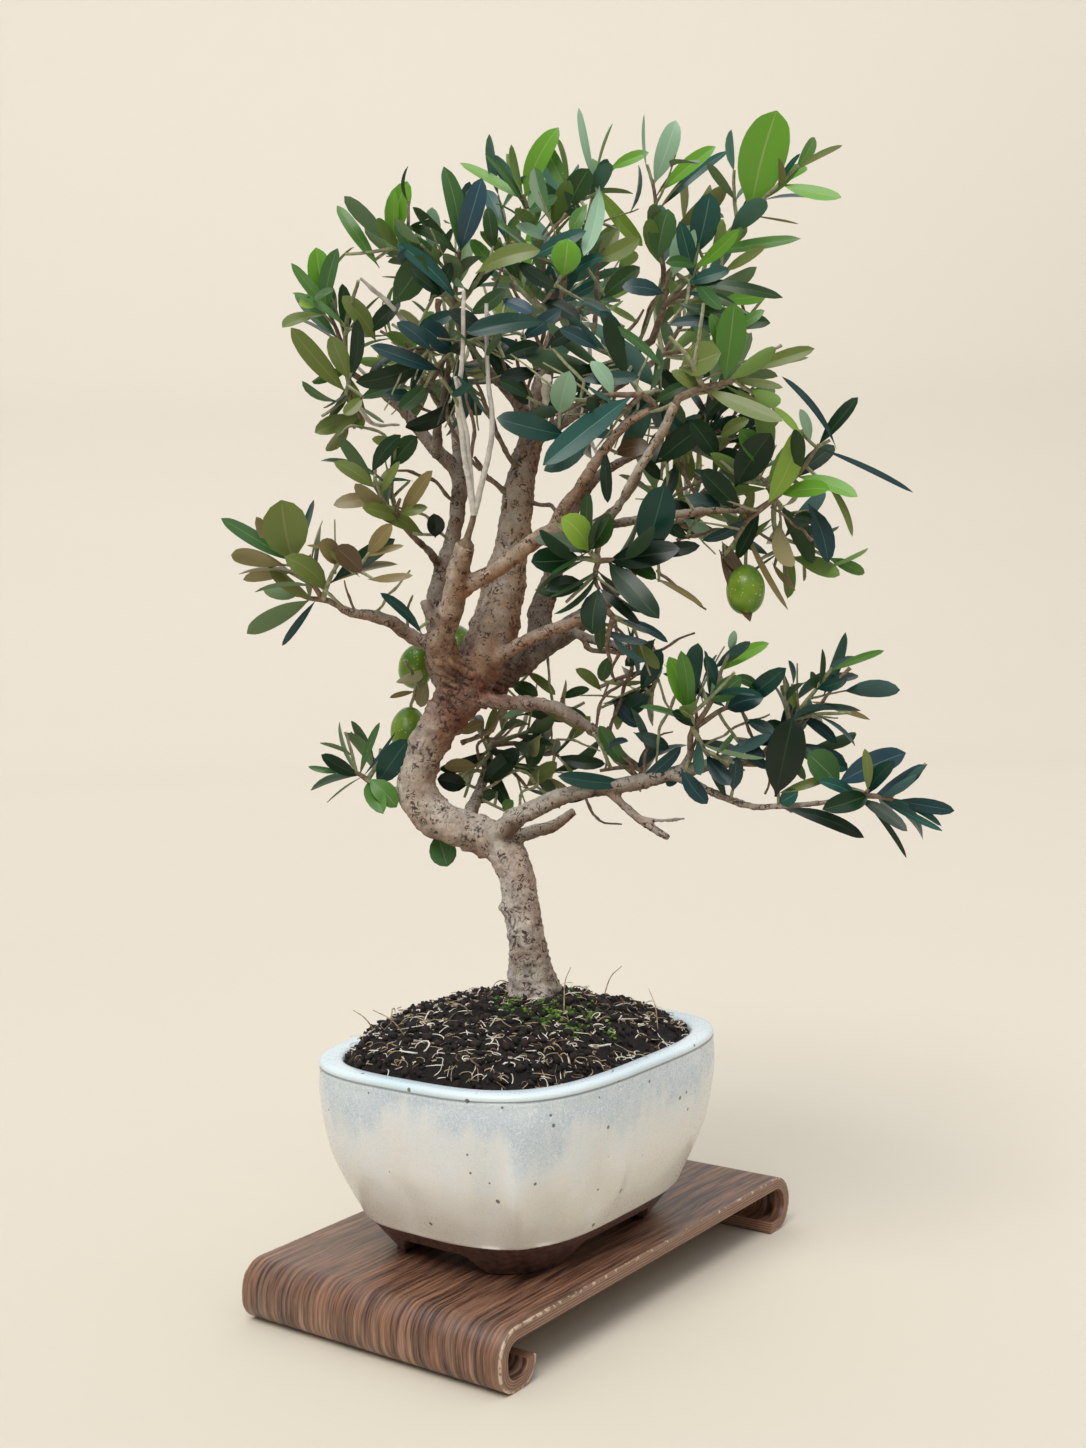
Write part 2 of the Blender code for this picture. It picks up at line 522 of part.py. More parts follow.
def make_pot():
    rings = [inset_ring(-FOOT_INSET, POT_FOOT_Z), inset_ring(BELLY[0] - 1, GLAZE_Z - 1.5)]
    heights = np.linspace(GLAZE_Z, POT_RIM_Z, len(BELLY))
    rings += [inset_ring(offset, z) for offset, z in zip(BELLY, heights)]
    rings.append(inset_ring(-RIM_WIDTH, POT_RIM_Z))
    rings += [inset_ring(wall_offset(z) - WALL - 1, z) for z in reversed(WALL_LEVELS)]
    rings.append(inset_ring(wall_offset(GLAZE_Z) - WALL - 3, POT_FLOOR_Z))
    pot = loft("pot", rings, "pot")
    for name, axis in (("arch_across", 0), ("arch_along", 1)):
        cut = pot.modifiers.new(name, "BOOLEAN")
        cut.object = arch_cutter(name, axis, ARCH_SPANS[axis], 4 * POT_HALF[1])
        cut.object.parent = pot
    return pot


def on_stand(x, y):
    """Turns a place in the tree's own frame onto the stand."""
    turn = math.radians(TREE_TURN)
    return (x * math.cos(turn) - y * math.sin(turn), x * math.sin(turn) + y * math.cos(turn))


def make_soil():
    rings = [inset_ring(wall_offset(GLAZE_Z) - WALL - 3 - SOIL_GAP, POT_FLOOR_Z + GAP)]
    rings += [inset_ring(wall_offset(z) - WALL - 1 - SOIL_GAP, z) for z in WALL_LEVELS]
    edge = [half - RIM_WIDTH - SOIL_GAP for half in POT_HALF]
    rings.append(outline_ring(edge, SOIL_EDGE_Z))
    foot = on_stand(*TRUNK_FOOT)
    for out, rise, lean in MOUND:
        middle = [p * out + f * (1 - out) + s for p, f, s in zip(POT_MIDDLE, foot, on_stand(-lean, 0))]
        rounder = 2 + (POT_ROUNDNESS - 2) * out
        half = [h * out + FOOT_PAD * (1 - out) for h in edge]
        rings.append(outline_ring(half, SOIL_EDGE_Z + (SOIL_TOP_Z - SOIL_EDGE_Z) * rise, middle, rounder))
    rings.append(outline_ring((FOOT_PAD, FOOT_PAD), SOIL_TOP_Z, foot, 2))
    return loft("soil", rings, "soil")


# Limbs


def smooth_path(points):
    """A Catmull-Rom curve through the points, every number of a point treated alike."""
    knots = np.array(points, float)
    knots = np.vstack([2 * knots[0] - knots[1], knots, 2 * knots[-1] - knots[-2]])
    path = []
    for a, b, c, d in zip(knots, knots[1:], knots[2:], knots[3:]):
        steps = max(1, round(np.linalg.norm((c - b)[:3]) / SPLINE_STEP))
        for t in np.arange(steps) / steps:
            square, cube = 2 * a - 5 * b + 4 * c - d, 3 * b - a - 3 * c + d
            path.append(0.5 * (2 * b + (c - a) * t + square * t**2 + cube * t**3))
    path.append(knots[-2])
    return np.array(path)


def tube(name, path, sides, grow=0.0, kind=None, collection=None):
    """A closed tube along rows of (x, y, z, radius), as a mesh."""
    section = bpy.data.curves.new("section", "CURVE")
    spline = section.splines.new("POLY")
    spline.points.add(sides - 1)
    for i, point in enumerate(spline.points):
        angle = 2 * math.pi * (i + 0.5) / sides
        point.co = (math.cos(angle) * MM, math.sin(angle) * MM, 0, 1)
    spline.use_cyclic_u = True
    profile = bpy.data.objects.new("section", section)
    line = bpy.data.curves.new(name, "CURVE")
    line.dimensions = "3D"
    line.bevel_mode = "OBJECT"
    line.bevel_object = profile
    line.use_fill_caps = True
    spline = line.splines.new("POLY")
    spline.points.add(len(path) - 1)
    for point, (x, y, z, radius) in zip(spline.points, path):
        point.co = (x * MM, y * MM, z * MM, 1)
        point.radius = radius + grow
    guide = bpy.data.objects.new(name + "_line", line)
    bpy.context.scene.collection.objects.link(guide)
    graph = bpy.context.evaluated_depsgraph_get()
    bm = bmesh.new()
    bm.from_mesh(guide.evaluated_get(graph).to_mesh())
    bmesh.ops.remove_doubles(bm, verts=bm.verts, dist=1e-6)
    face_outwards(bm)
    remove([guide, profile])
    return new_object(name, bm, kind, collection)


def limb_sides(path):
    widest = path[:, 3].max()
    return next(sides for girth, sides in LIMB_SIDES if widest >= girth)


def flat_foot(trunk):
    """Cuts the trunk level at the soil and flares it down to the cut."""
    bm = bmesh.new()
    bm.from_mesh(trunk.data)
    geom = bm.verts[:] + bm.edges[:] + bm.faces[:]
    foot = (0, 0, TRUNK_FOOT_Z * MM)
    level = dict(plane_co=foot, plane_no=(0, 0, 1), clear_inner=True)
    cut = bmesh.ops.bisect_plane(bm, geom=geom, **level)["geom_cut"]
    bmesh.ops.edgeloop_fill(bm, edges=[item for item in cut if isinstance(item, bmesh.types.BMEdge)])
    for vert in bm.verts:
        low = 1 - (vert.co.z / MM - TRUNK_FOOT_Z) / FLARE_HEIGHT
        if low > 0:
            x, y = (vert.co.x / MM - TRUNK_FOOT[0], vert.co.y / MM - TRUNK_FOOT[1])
            lobes = 1 + ROOT_LOBES * math.cos(ROOT_COUNT * math.atan2(y, x))
            wider = 1 + (FLARE - 1) * low**2 * lobes
            vert.co.x = (TRUNK_FOOT[0] + x * wider) * MM
            vert.co.y = (TRUNK_FOOT[1] + y * wider) * MM
    face_outwards(bm)
    bm.to_mesh(trunk.data)
    bm.free()


def near(path, other):
    gaps = np.linalg.norm(path[:, None, :3] - other[None, :, :3], axis=2)
    return (gaps < path[:, None, 3] + other[None, :, 3] + SPLINE_STEP).any()


def largest_piece(obj):
    """Keeps the widest body of a mesh, so loose scraps and sealed hollows go."""
    bm = bmesh.new()
    bm.from_mesh(obj.data)
    left, best, widest = set(bm.faces), None, 0
    while left:
        body, edge = set(), [left.pop()]
        while edge:
            face = edge.pop()
            body.add(face)
            beside = {other for side in face.edges for other in side.link_faces} & left
            left -= beside
            edge += beside
        places = np.array([vert.co for face in body for vert in face.verts])
        width = np.linalg.norm(places.max(axis=0) - places.min(axis=0))
        if width > widest:
            best, widest = body, width
    bmesh.ops.delete(bm, geom=[face for face in bm.faces if face not in best], context="FACES")
    bm.to_mesh(obj.data)
    bm.free()


def dense(path, step=1.5):
    """Points close along a limb's path, to keep foliage clear of it."""
    rows = []
    for a, b in zip(path, path[1:]):
        count = max(1, round(np.linalg.norm((b - a)[:3]) / step))
        rows += [a + (b - a) * i / count for i in range(count)]
    return np.array(rows[:-2])


def make_limbs(turned):
    """Each limb starts inside its parent and is cut clear of every limb made before it."""
    paths = {}
    for name, (parent, points) in LIMBS.items():
        path = smooth_path(points)
        limb = tube(name, path, limb_sides(path), kind="bark")
        if name == "trunk":
            flat_foot(limb)
        for other in paths:
            if other == parent or near(path, paths[other]):
                cut = limb.modifiers.new(other, "BOOLEAN")
                cut.object = bpy.data.objects[other + "_clear"]
        apply_modifiers(limb)
        largest_piece(limb)
        limb.parent = turned
        paths[name] = path
        grow = GAP / math.cos(math.pi / limb_sides(path))
        swollen = tube(name + "_clear", path, limb_sides(path), grow, collection=cutterCollection)
        hide_cutter(swollen)
    remove([obj for obj in cutterCollection.objects if obj.name.endswith("_clear")])
    return paths


# Foliage


def on_path(path, share):
    """The place at a share of the way along a path of even joints."""
    return np.array([np.interp(share, np.linspace(0, 1, len(path)), path[:, k]) for k in range(3)])


class Grower:
    """Grows one mass: its shoots and leaves keep to its own space and clear of the limbs."""

    def __init__(self, name, limb_points):
        self.sizes = MASSES[name]
        self.own = list(MASSES).index(name)
        self.middles = np.array([mass["middle"] for mass in MASSES.values()], float)
        self.halves = np.array([mass["half"] for mass in MASSES.values()], float)
        self.limbs = limb_points
        self.draw = random.Random(SEED + self.own)
        self.twigs = []
        self.leaves = []
        self.ribs = []
        self.fruit = []

    def clear(self, points):
        """Whether places are clear of every limb."""
        points = np.atleast_2d(points)
        gaps = np.linalg.norm(points[:, None] - self.limbs[None, :, :3], axis=2) - self.limbs[None, :, 3]
        return gaps.min() > LIMB_CLEARANCE

    def fits(self, points):
        """Whether places are clear of the limbs and nearer to this mass than to any other."""
        points = np.atleast_2d(points)
        reach = np.linalg.norm((points[:, None] - self.middles) / self.halves, axis=2)
        own = reach[:, self.own].copy()
        reach[:, self.own] = np.inf
        inside = (own <= 1).all() and (own + SPACE_MARGIN <= reach.min(axis=1)).all()
        return inside and self.clear(points)

    def main_shoot(self, start, tip):
        """A shoot that bows a little off the straight, drawn again while it would touch a limb."""
        tip = np.array(tip, float)
        for _ in range(SHOOT_DRAWS):
            off = np.array([self.draw.uniform(-1, 1) for _ in range(3)])
            off *= SHOOT_BOW * np.linalg.norm(tip - start)
            path = np.array([start, (start + tip) / 2 + off, tip])
            if self.clear([on_path(path, share) for share in np.linspace(0, 1, 12)]):
                break
        self.twigs.append(np.column_stack([path, np.linspace(*SHOOT_RADII, len(path))]))
        return path

    def side_shoot(self, main):
        """A straight shoot off a main one, if there is room for it."""
        start = on_path(main, self.draw.uniform(0.25, 0.9))
        along = (main[-1] - main[0]) / np.linalg.norm(main[-1] - main[0])
        off = np.array([self.draw.uniform(-1, 1) for _ in range(3)])
        off -= along * np.dot(off, along)
        way = along * 0.6 + off / np.linalg.norm(off) * 0.8
        tip = start + way * self.draw.uniform(*SIDE_LENGTH)
        if self.fits([start + (tip - start) * share for share in (0.3, 0.6, 1)]):
            self.twigs.append(np.array([[*start, SIDE_RADII[0]], [*tip, SIDE_RADII[1]]]))
            self.dress(np.array([start, tip]), 0.45, 0.85)

    def leaf(self, root, tip, width, facing):
        """Adds a leaf if its corners fit and it passes no other leaf too near; facing is the way it looks."""
        along = tip - root
        across = np.cross(along, facing)
        across *= width / 2 / np.linalg.norm(across)
        wide = root + along * LEAF_WIDEST
        rib = np.array([root + along * share for share in (0.3, 0.5, 0.7, 0.9)])
        gaps = [np.linalg.norm(rib[:, None] - other, axis=2).min() for other in self.ribs]
        apart = min(gaps, default=LEAF_APART) >= LEAF_APART
        if apart and self.fits([wide + across, wide - across, tip, *rib]):
            self.leaves.append((root, tip, width, facing))
            self.ribs.append(rib[None])

    def dress(self, path, first, scale=1.0, end=True):
        """Opposite pairs of leaves along a shoot, each a quarter turn from the last, and one at the tip."""
        along = path[-1] - path[0]
        length = np.linalg.norm(along)
        along /= length
        side = np.cross(along, (0.3, 0.2, 1))
        side /= np.linalg.norm(side)
        turn = self.draw.uniform(0, math.pi)
        place = first * length
        while place < length - 2:
            at = place / length
            root = on_path(path, at)
            for half in (0, math.pi):
                out = side * math.cos(turn + half) + np.cross(along, side) * math.sin(turn + half)
                angle = math.radians(LEAF_ANGLE + self.draw.uniform(-12, 12))
                way = along * math.cos(angle) + out * math.sin(angle) + np.array((0, 0, 0.12))
                way /= np.linalg.norm(way)
                size = LEAF_LENGTH * scale * self.draw.uniform(0.8, 1.12) * (1 - 0.35 * at)
                facing = along + out * self.draw.uniform(-0.4, 0.4)
                self.leaf(root - way * 0.4, root + way * size, size * LEAF_SLENDER, facing)
            turn += math.pi / 2
            place += PAIR_STEP
        if end:
            size = LEAF_LENGTH * scale * self.draw.uniform(0.6, 0.8)
            self.leaf(path[-1] - along * 0.6, path[-1] + along * size, size * LEAF_SLENDER, side)

    def nearest_twig(self, place):
        """How far the nearest twig is, and its nearest point; the stem's first joint stays bare."""
        best = None
        for path in (self.twigs[0][1:], *self.twigs[1:]):
            for a, b in zip(path, path[1:]):
                span = b[:3] - a[:3]
                t = np.clip(np.dot(place - a[:3], span) / np.dot(span, span), 0.15, 0.9)
                point = a[:3] + span * t
                gap = np.linalg.norm(place - point)
                if best is None or gap < best[0]:
                    best = (gap, point)
        return best

    def show_leaf(self, root, tip, width):
        root, tip = np.array(root, float), np.array(tip, float)
        gap, joint = self.nearest_twig(root)
        if gap > PETIOLE:
            self.twigs.append(np.array([[*joint, 0.7], [*(root + (tip - root) * 0.12), 0.6]]))
        else:
            root = joint
        across = np.cross(tip - root, FRONT)
        self.leaf(root, tip, width, np.cross(across, tip - root))

    def hang_olive(self, stalk, middle):
        stalk, middle = np.array(stalk, float), np.array(middle, float)
        _, joint = self.nearest_twig(stalk)
        down = (middle - stalk) / np.linalg.norm(middle - stalk)
        top = middle - down * OLIVE[1] * 0.8
        self.twigs.append(np.array([[*joint, 0.8], [*stalk, 0.7], [*top, 0.7]]))
        self.fruit.append((middle, down))

    def grow(self, limb_path):
        sizes = self.sizes
        tip, way = limb_path[-1, :3], limb_path[-1, :3] - limb_path[-2, :3]
        way = way / np.linalg.norm(way)
        heart = np.array(sizes["heart"], float)
        girth = min(limb_path[-1, 3], STEM_RADIUS)
        base = tip + way * GAP
        lead = base + way * STEM_LEAD
        self.twigs.append(np.array([[*base, girth], [*lead, girth], [*heart, SHOOT_RADII[0]]]))
        mains = [self.main_shoot(heart, end) for end in sizes["shoots"]]
        for root, end, width in sizes["leaves"]:
            self.show_leaf(root, end, width)
        for stalk, middle in sizes.get("fruit", ()):
            self.hang_olive(stalk, middle)
        for path in mains[sizes.get("bare", 0):]:
            self.dress(path, 0.3, end=False)
        for _ in range(SIDE_SHOOTS * len(mains)):
            self.side_shoot(mains[self.draw.randrange(len(mains))])


def leaf_solid(name, root, tip, width, facing, collection):
    """A low pyramid on a kite, widest a little below its middle, its flat side under the leaf."""
    bm = bmesh.new()
    bmesh.ops.create_cone(bm, cap_ends=True, segments=4, radius1=1, radius2=0, depth=1)
    along = Vector(tip - root)
    across = along.cross(Vector(facing)).normalized() * width / 2
    thick = across.cross(along).normalized() * LEAF_THICKNESS
    for vert in bm.verts:
        x, y = round(vert.co.x), round(vert.co.y)
        place = Vector(root) + along * (LEAF_WIDEST if x == 0 else (1 + x) / 2) + across * y
        vert.co = (place + thick * (0.5 if vert.co.z > 0 else -0.5)) * MM
    face_outwards(bm)
    return new_object(name, bm, "leaf", collection)


def olive_solid(name, middle, down, collection):
    bm = bmesh.new()
    bmesh.ops.create_uvsphere(bm, u_segments=6, v_segments=5, radius=1)
    bmesh.ops.scale(bm, vec=(OLIVE[0] * MM, OLIVE[0] * MM, OLIVE[1] * MM), verts=bm.verts)
    turn = Vector((0, 0, -1)).rotation_difference(Vector(down))
    bmesh.ops.rotate(bm, matrix=turn.to_matrix(), verts=bm.verts)
    bmesh.ops.translate(bm, vec=Vector(middle) * MM, verts=bm.verts)
    return new_object(name, bm, "leaf", collection)


def make_mass(name, limb_path, limb_points, turned):
    grower = Grower(name, limb_points)
    grower.grow(limb_path)
    pieces = bpy.data.collections.new(name + "_pieces")
    bpy.context.scene.collection.children.link(pieces)
    for i, path in enumerate(grower.twigs[1:]):
        tube(f"{name}_twig{i}", path, 3, kind="leaf", collection=pieces)
    for i, leaf in enumerate(grower.leaves):
        leaf_solid(f"{name}_leaf{i}", *leaf, pieces)
    for i, olive in enumerate(grower.fruit):
        olive_solid(f"{name}_olive{i}", *olive, pieces)
    mass = tube(name, grower.twigs[0], 5, kind="leaf")
    join = mass.modifiers.new("join", "BOOLEAN")
    join.operation = "UNION"
    join.solver = "MANIFOLD"
    join.operand_type = "COLLECTION"
    join.collection = pieces
    apply_modifiers(mass)
    remove(pieces.objects)
    bpy.data.collections.remove(pieces)
    largest_piece(mass)
    mass.parent = turned
    print(f"{name}: {len(grower.leaves)} leaves, {len(grower.twigs)} twigs, {len(mass.data.polygons)} faces")


def empty(name, parent=None):
    made = bpy.data.objects.new(name, None)
    partCollection.objects.link(made)
    made.parent = parent
    return made


def box_middle(objects):
    """The middle in plan of the box around the objects, in metres."""
    bpy.context.view_layer.update()
    graph = bpy.context.evaluated_depsgraph_get()
    low, high = np.full(3, np.inf), np.full(3, -np.inf)
    for obj in objects:
        found = obj.evaluated_get(graph)
        points = np.array([found.matrix_world @ v.co for v in found.data.vertices])
        low, high = np.minimum(low, points.min(axis=0)), np.maximum(high, points.max(axis=0))
    return (low + high) / 2


def main():
    clear_scene()
    whole = empty("bonsai")
    turned = empty("tree", whole)
    turned.rotation_euler.z = math.radians(TREE_TURN)
    for piece in (make_stand(), make_pot(), make_soil()):
        piece.parent = whole
    paths = make_limbs(turned)
    limb_points = np.vstack([dense(path) for path in paths.values()])
    for name, sizes in MASSES.items():
        make_mass(name, paths[sizes["limb"]], limb_points, turned)
    solids = [obj for obj in partCollection.objects if obj.type == "MESH"]
    middle = box_middle(solids)
    whole.location = (-middle[0], -middle[1], 0)
    print("middle", [round(c / MM, 2) for c in middle], "faces", sum(len(o.data.polygons) for o in solids))


main()
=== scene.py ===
# Olive bonsai in a glazed stoneware pot, on a bentwood stand.
# Sizes are in millimetres and mm turns them to metres. The tree is laid out from its front, x to the
# right, y away and z up, and onStand turns it onto the stand.

import math
import random
from functools import partial

import bmesh
import bpy
import numpy as np
from mathutils import Matrix, Vector, bvhtree, kdtree, noise


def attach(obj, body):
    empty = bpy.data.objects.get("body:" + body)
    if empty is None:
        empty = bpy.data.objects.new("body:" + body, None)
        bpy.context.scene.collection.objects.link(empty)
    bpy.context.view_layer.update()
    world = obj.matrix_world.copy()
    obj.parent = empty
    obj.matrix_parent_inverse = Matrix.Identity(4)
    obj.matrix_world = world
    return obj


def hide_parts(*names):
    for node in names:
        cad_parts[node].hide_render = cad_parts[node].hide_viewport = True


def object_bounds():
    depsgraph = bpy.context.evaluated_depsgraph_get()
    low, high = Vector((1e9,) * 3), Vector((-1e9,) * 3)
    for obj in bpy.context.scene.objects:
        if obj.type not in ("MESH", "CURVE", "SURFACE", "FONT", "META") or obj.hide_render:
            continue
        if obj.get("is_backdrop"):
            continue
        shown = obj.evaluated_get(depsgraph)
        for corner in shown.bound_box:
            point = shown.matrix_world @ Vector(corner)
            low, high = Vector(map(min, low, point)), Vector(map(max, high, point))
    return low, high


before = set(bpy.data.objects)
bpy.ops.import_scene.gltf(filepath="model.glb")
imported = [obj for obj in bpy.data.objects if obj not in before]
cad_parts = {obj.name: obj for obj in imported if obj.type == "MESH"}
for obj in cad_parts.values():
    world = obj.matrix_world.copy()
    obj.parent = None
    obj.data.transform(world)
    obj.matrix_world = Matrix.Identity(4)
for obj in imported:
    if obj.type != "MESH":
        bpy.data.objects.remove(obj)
cadBox = [list(corner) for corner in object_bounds()]
noise.seed_set(34)  # Blender's vector noise otherwise starts from the clock

mm = 0.001
placing = dict(turn=36.2, shift=(-23.22, -15.8))  # of the tree on the stand, and of the stand in the frame


def onStand(places):
    places = np.asarray(places, float)
    turn = math.radians(placing["turn"])
    x, y = places[..., 0], places[..., 1]
    turned = [x * math.cos(turn) - y * math.sin(turn), x * math.sin(turn) + y * math.cos(turn)]
    return np.stack([turned[0] + placing["shift"][0], turned[1] + placing["shift"][1], places[..., 2]], -1) * mm


# Materials


def paint(hexColour):  # sRGB hex to linear
    parts = [int(hexColour[i : i + 2], 16) / 255 for i in (1, 3, 5)]
    return (*[c / 12.92 if c <= 0.04045 else ((c + 0.055) / 1.055) ** 2.4 for c in parts], 1.0)


def setInputs(node, inputs):
    # A value is a number, a colour, a socket, or a node, which stands for its first output in use
    for key, value in inputs.items():
        if isinstance(value, bpy.types.Node):
            value = next(output for output in value.outputs if output.enabled)
        if isinstance(value, bpy.types.NodeSocket):
            node.id_data.links.new(value, node.inputs[key])
        else:
            node.inputs[key].default_value = value


def addNode(tree, kind, inputs=(), stops=(), **settings):
    # A ramp's stops begin with its two ends. MapRange maps the range 1 to 2 onto 3 to 4, and Mix
    # blends the colours 6 and 7 by 0
    node = tree.nodes.new("ShaderNode" + kind)
    for key, value in settings.items():
        setattr(node, key, value)
    setInputs(node, dict(inputs))
    for i, (place, tone) in enumerate(stops):
        stop = node.color_ramp.elements[i] if i < 2 else node.color_ramp.elements.new(place)
        stop.position = place
        stop.color = paint(tone) if isinstance(tone, str) else (tone, tone, tone, 1)
    return node


def newMaterial(name, **inputs):
    made = bpy.data.materials.new(name)
    made.use_nodes = True
    tree = made.node_tree
    shader = tree.nodes["Principled BSDF"]
    setInputs(shader, {key.replace("_", " "): value for key, value in inputs.items()})
    return made, shader, partial(addNode, tree)


def faceOutwards(bm):
    bmesh.ops.recalc_face_normals(bm, faces=bm.faces)
    if bm.calc_volume(signed=True) < 0:
        bmesh.ops.reverse_faces(bm, faces=bm.faces)


def drawnOn(bm, row, edges):
    # Extrudes a row of edges, and gives the new row of vertices and its edges
    grown = bmesh.ops.extrude_edge_only(bm, edges=edges)["geom"]
    fresh = set(grown)
    edges = [item for item in grown if isinstance(item, bmesh.types.BMEdge) and fresh.issuperset(item.verts)]
    row = [next(edge.other_vert(vert) for edge in vert.link_edges if edge.other_vert(vert) in fresh)
           for vert in row]
    return row, edges


def reportMesh(name, bm):
    print(name, len(bm.faces), "faces, open edges", sum(not edge.is_manifold for edge in bm.edges))


def addObject(name, data):
    made = bpy.data.objects.new(name, data)
    bpy.context.scene.collection.objects.link(made)
    return made


def meshFrom(bm, name):
    mesh = bpy.data.meshes.new(name)
    bm.to_mesh(mesh)
    bm.free()
    return mesh


def newPiece(name, mesh, materials, nodes=(), sharp=None):
    if isinstance(mesh, bmesh.types.BMesh):
        mesh = meshFrom(mesh, name)
    for material in materials:
        mesh.materials.append(material)
    mesh.shade_smooth()
    if sharp:
        mesh.set_sharp_from_angle(angle=math.radians(sharp))
    piece = addObject(name, mesh)
    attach(piece, "root")
    if nodes:
        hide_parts(*nodes)


# Stand: one strip of plywood faced in walnut, bent down and curled under at both ends

standSizes = dict(
    length=200.0, width=120.5, height=22.2, thickness=4.8, plies=5, flat=3.0,
    near=dict(bend=10.2, curl=8.6, lip=95), far=dict(bend=11.0, curl=10.7, lip=16),
    arcStep=4, flatSteps=24, edgeRound=0.55, edgeAngle=0.9, facing=0.35, layer=0.96, rubbed=(0.9, 0.3),
)
standTones = dict(
    streaks=[(0.38, "#29150e"), (0.64, "#94694f"), (0.47, "#4d2d22"), (0.55, "#6d4532")],
    grain=[(0.4, "#190b07"), (0.6, "#b78c71")],
    plies=[(0.0, "#4c3127"), (1.0, "#55372b"), (0.14, "#b08a72"), (0.45, "#8c6754"), (0.8, "#7b5746")],
)


def walnutMaterial():
    # Oiled walnut veneer: straight brown grain with paler streaks, open pores and a satin shine
    made, shader, add = newMaterial("oiled walnut veneer", Roughness=0.42, IOR=1.5, Coat_Weight=0.1,
                                    Coat_Roughness=0.2)
    objectPlace = add("TexCoord").outputs["Object"]
    split = add("SeparateXYZ", {0: objectPlace})
    along = add("Attribute", attribute_name="along").outputs["Fac"]
    deep = add("Attribute", attribute_name="deep").outputs["Fac"]
    # The pattern is read across the board and along the strip, so that it runs on round the bends
    slow = add("Math", {0: along, 1: 0.04}, operation="MULTIPLY")
    wander = add("TexNoise", {"Vector": objectPlace, "Scale": 22.0, "Detail": 1.0})
    sway = add("MapRange", {"Value": wander, 3: -0.0025, 4: 0.0025})
    across = add("Math", {0: split.outputs[0], 1: sway}, operation="ADD")
    place = add("CombineXYZ", {0: across, 1: slow, 2: deep})
    # Growth rings cut flat: broad streaks 6 mm apart, grain lines 1.4 mm and fibres 0.4 mm
    broad = add("TexNoise", {"Vector": place, "Scale": 170.0, "Detail": 4.0, "Roughness": 0.7})
    fine = add("TexNoise", {"Vector": place, "Scale": 720.0, "Detail": 4.0, "Roughness": 0.7})
    fibre = add("TexNoise", {"Vector": place, "Scale": 2500.0, "Detail": 2.0})
    base = add("ValToRGB", {0: broad}, standTones["streaks"])
    grain = add("ValToRGB", {0: fine}, standTones["grain"])
    mixed = add("Mix", {0: 0.46, 6: base, 7: grain}, data_type="RGBA")
    threads = add("ValToRGB", {0: fibre}, [(0.34, 0.45), (0.6, 1.0)])
    mixed = add("Mix", {0: 0.55, 6: mixed, 7: threads},
                    data_type="RGBA", blend_type="MULTIPLY")
    # The near bend has worn paler along its streaks
    bent = add("MapRange", {"Value": along, 1: 0.022, 2: 0.05, 3: 1.0, 4: 0.0},
                   interpolation_type="SMOOTHSTEP")
    streak = add("TexNoise", {"Vector": place, "Scale": 330.0, "Detail": 3.0})
    streak = add("MapRange", {"Value": streak, 1: 0.52, 2: 0.68})
    worn = add("Math", {0: bent, 1: streak}, operation="MULTIPLY")
    worn = add("Math", {0: worn, 1: 0.6}, operation="MULTIPLY")
    mixed = add("Mix", {0: worn, 6: mixed, 7: paint("#c7a78d")}, data_type="RGBA")
    # Plies show on the cut edges as lighter and darker layers 0.96 mm thick
    layer = add("Math", {0: deep, 1: 1 / (standSizes["layer"] * mm)}, operation="MULTIPLY")
    layer = add("Math", {0: layer}, operation="FRACT")
    plies = add("ValToRGB", {0: layer}, standTones["plies"])
    plied = add("Mix", {0: threads, 6: paint("#5d4033"), 7: plies}, data_type="RGBA")
    facing, thickness = standSizes["facing"], standSizes["thickness"]
    inner = add("Math", {0: deep, 1: facing * mm}, operation="GREATER_THAN")
    outer = add("Math", {0: deep, 1: (thickness - 0.3) * mm}, operation="LESS_THAN")
    onEdge = add("Math", {0: inner, 1: outer}, operation="MULTIPLY")
    mixed = add("Mix", {0: onEdge, 6: mixed, 7: plied}, data_type="RGBA")
    # Worn arrises show bare wood as a thin light line
    side = add("Math", {0: split.outputs[0], 1: placing["shift"][0] * mm}, operation="SUBTRACT")
    side = add("Math", {0: side}, operation="ABSOLUTE")
    start, full = (standSizes["width"] / 2 * mm - inset * mm for inset in standSizes["rubbed"])
    rubbed = add("MapRange", {"Value": side, 1: start, 2: full, 3: 0.0, 4: 0.85})
    shallow = add("MapRange", {"Value": deep, 1: 0.0006, 2: 0.0012, 3: 1.0, 4: 0.0})
    rubbed = add("Math", {0: rubbed, 1: shallow}, operation="MULTIPLY")
    chips = add("TexNoise", {"Vector": objectPlace, "Scale": 480.0, "Detail": 4.0})
    worst = add("MapRange", {"Value": along, 1: 0.06, 2: 0.1, 3: 0.42, 4: 0.56})
    chips = add("Math", {0: chips, 1: worst}, operation="SUBTRACT")
    chips = add("MapRange", {"Value": chips, 1: 0.0, 2: 0.1, 3: 0.18, 4: 1.0})
    rubbed = add("Math", {0: rubbed, 1: chips}, operation="MULTIPLY")
    mixed = add("Mix", {0: rubbed, 6: mixed, 7: paint("#d8c0aa")}, data_type="RGBA")
    satin = add("MapRange", {"Value": fine, 3: 0.3, 4: 0.55})
    bump = add("Bump", {"Height": fine, "Strength": 0.5, "Distance": 0.25 * mm})
    setInputs(shader, {"Base Color": mixed, "Roughness": satin, "Normal": bump})
    return made


def arcPoints(middle, radius, start, end):
    steps = max(2, round(abs(end - start) / standSizes["arcStep"]))
    angles = [math.radians(start + (end - start) * i / steps) for i in range(steps + 1)]
    return [(middle[0] + radius * math.cos(a), middle[1] + radius * math.sin(a)) for a in angles]


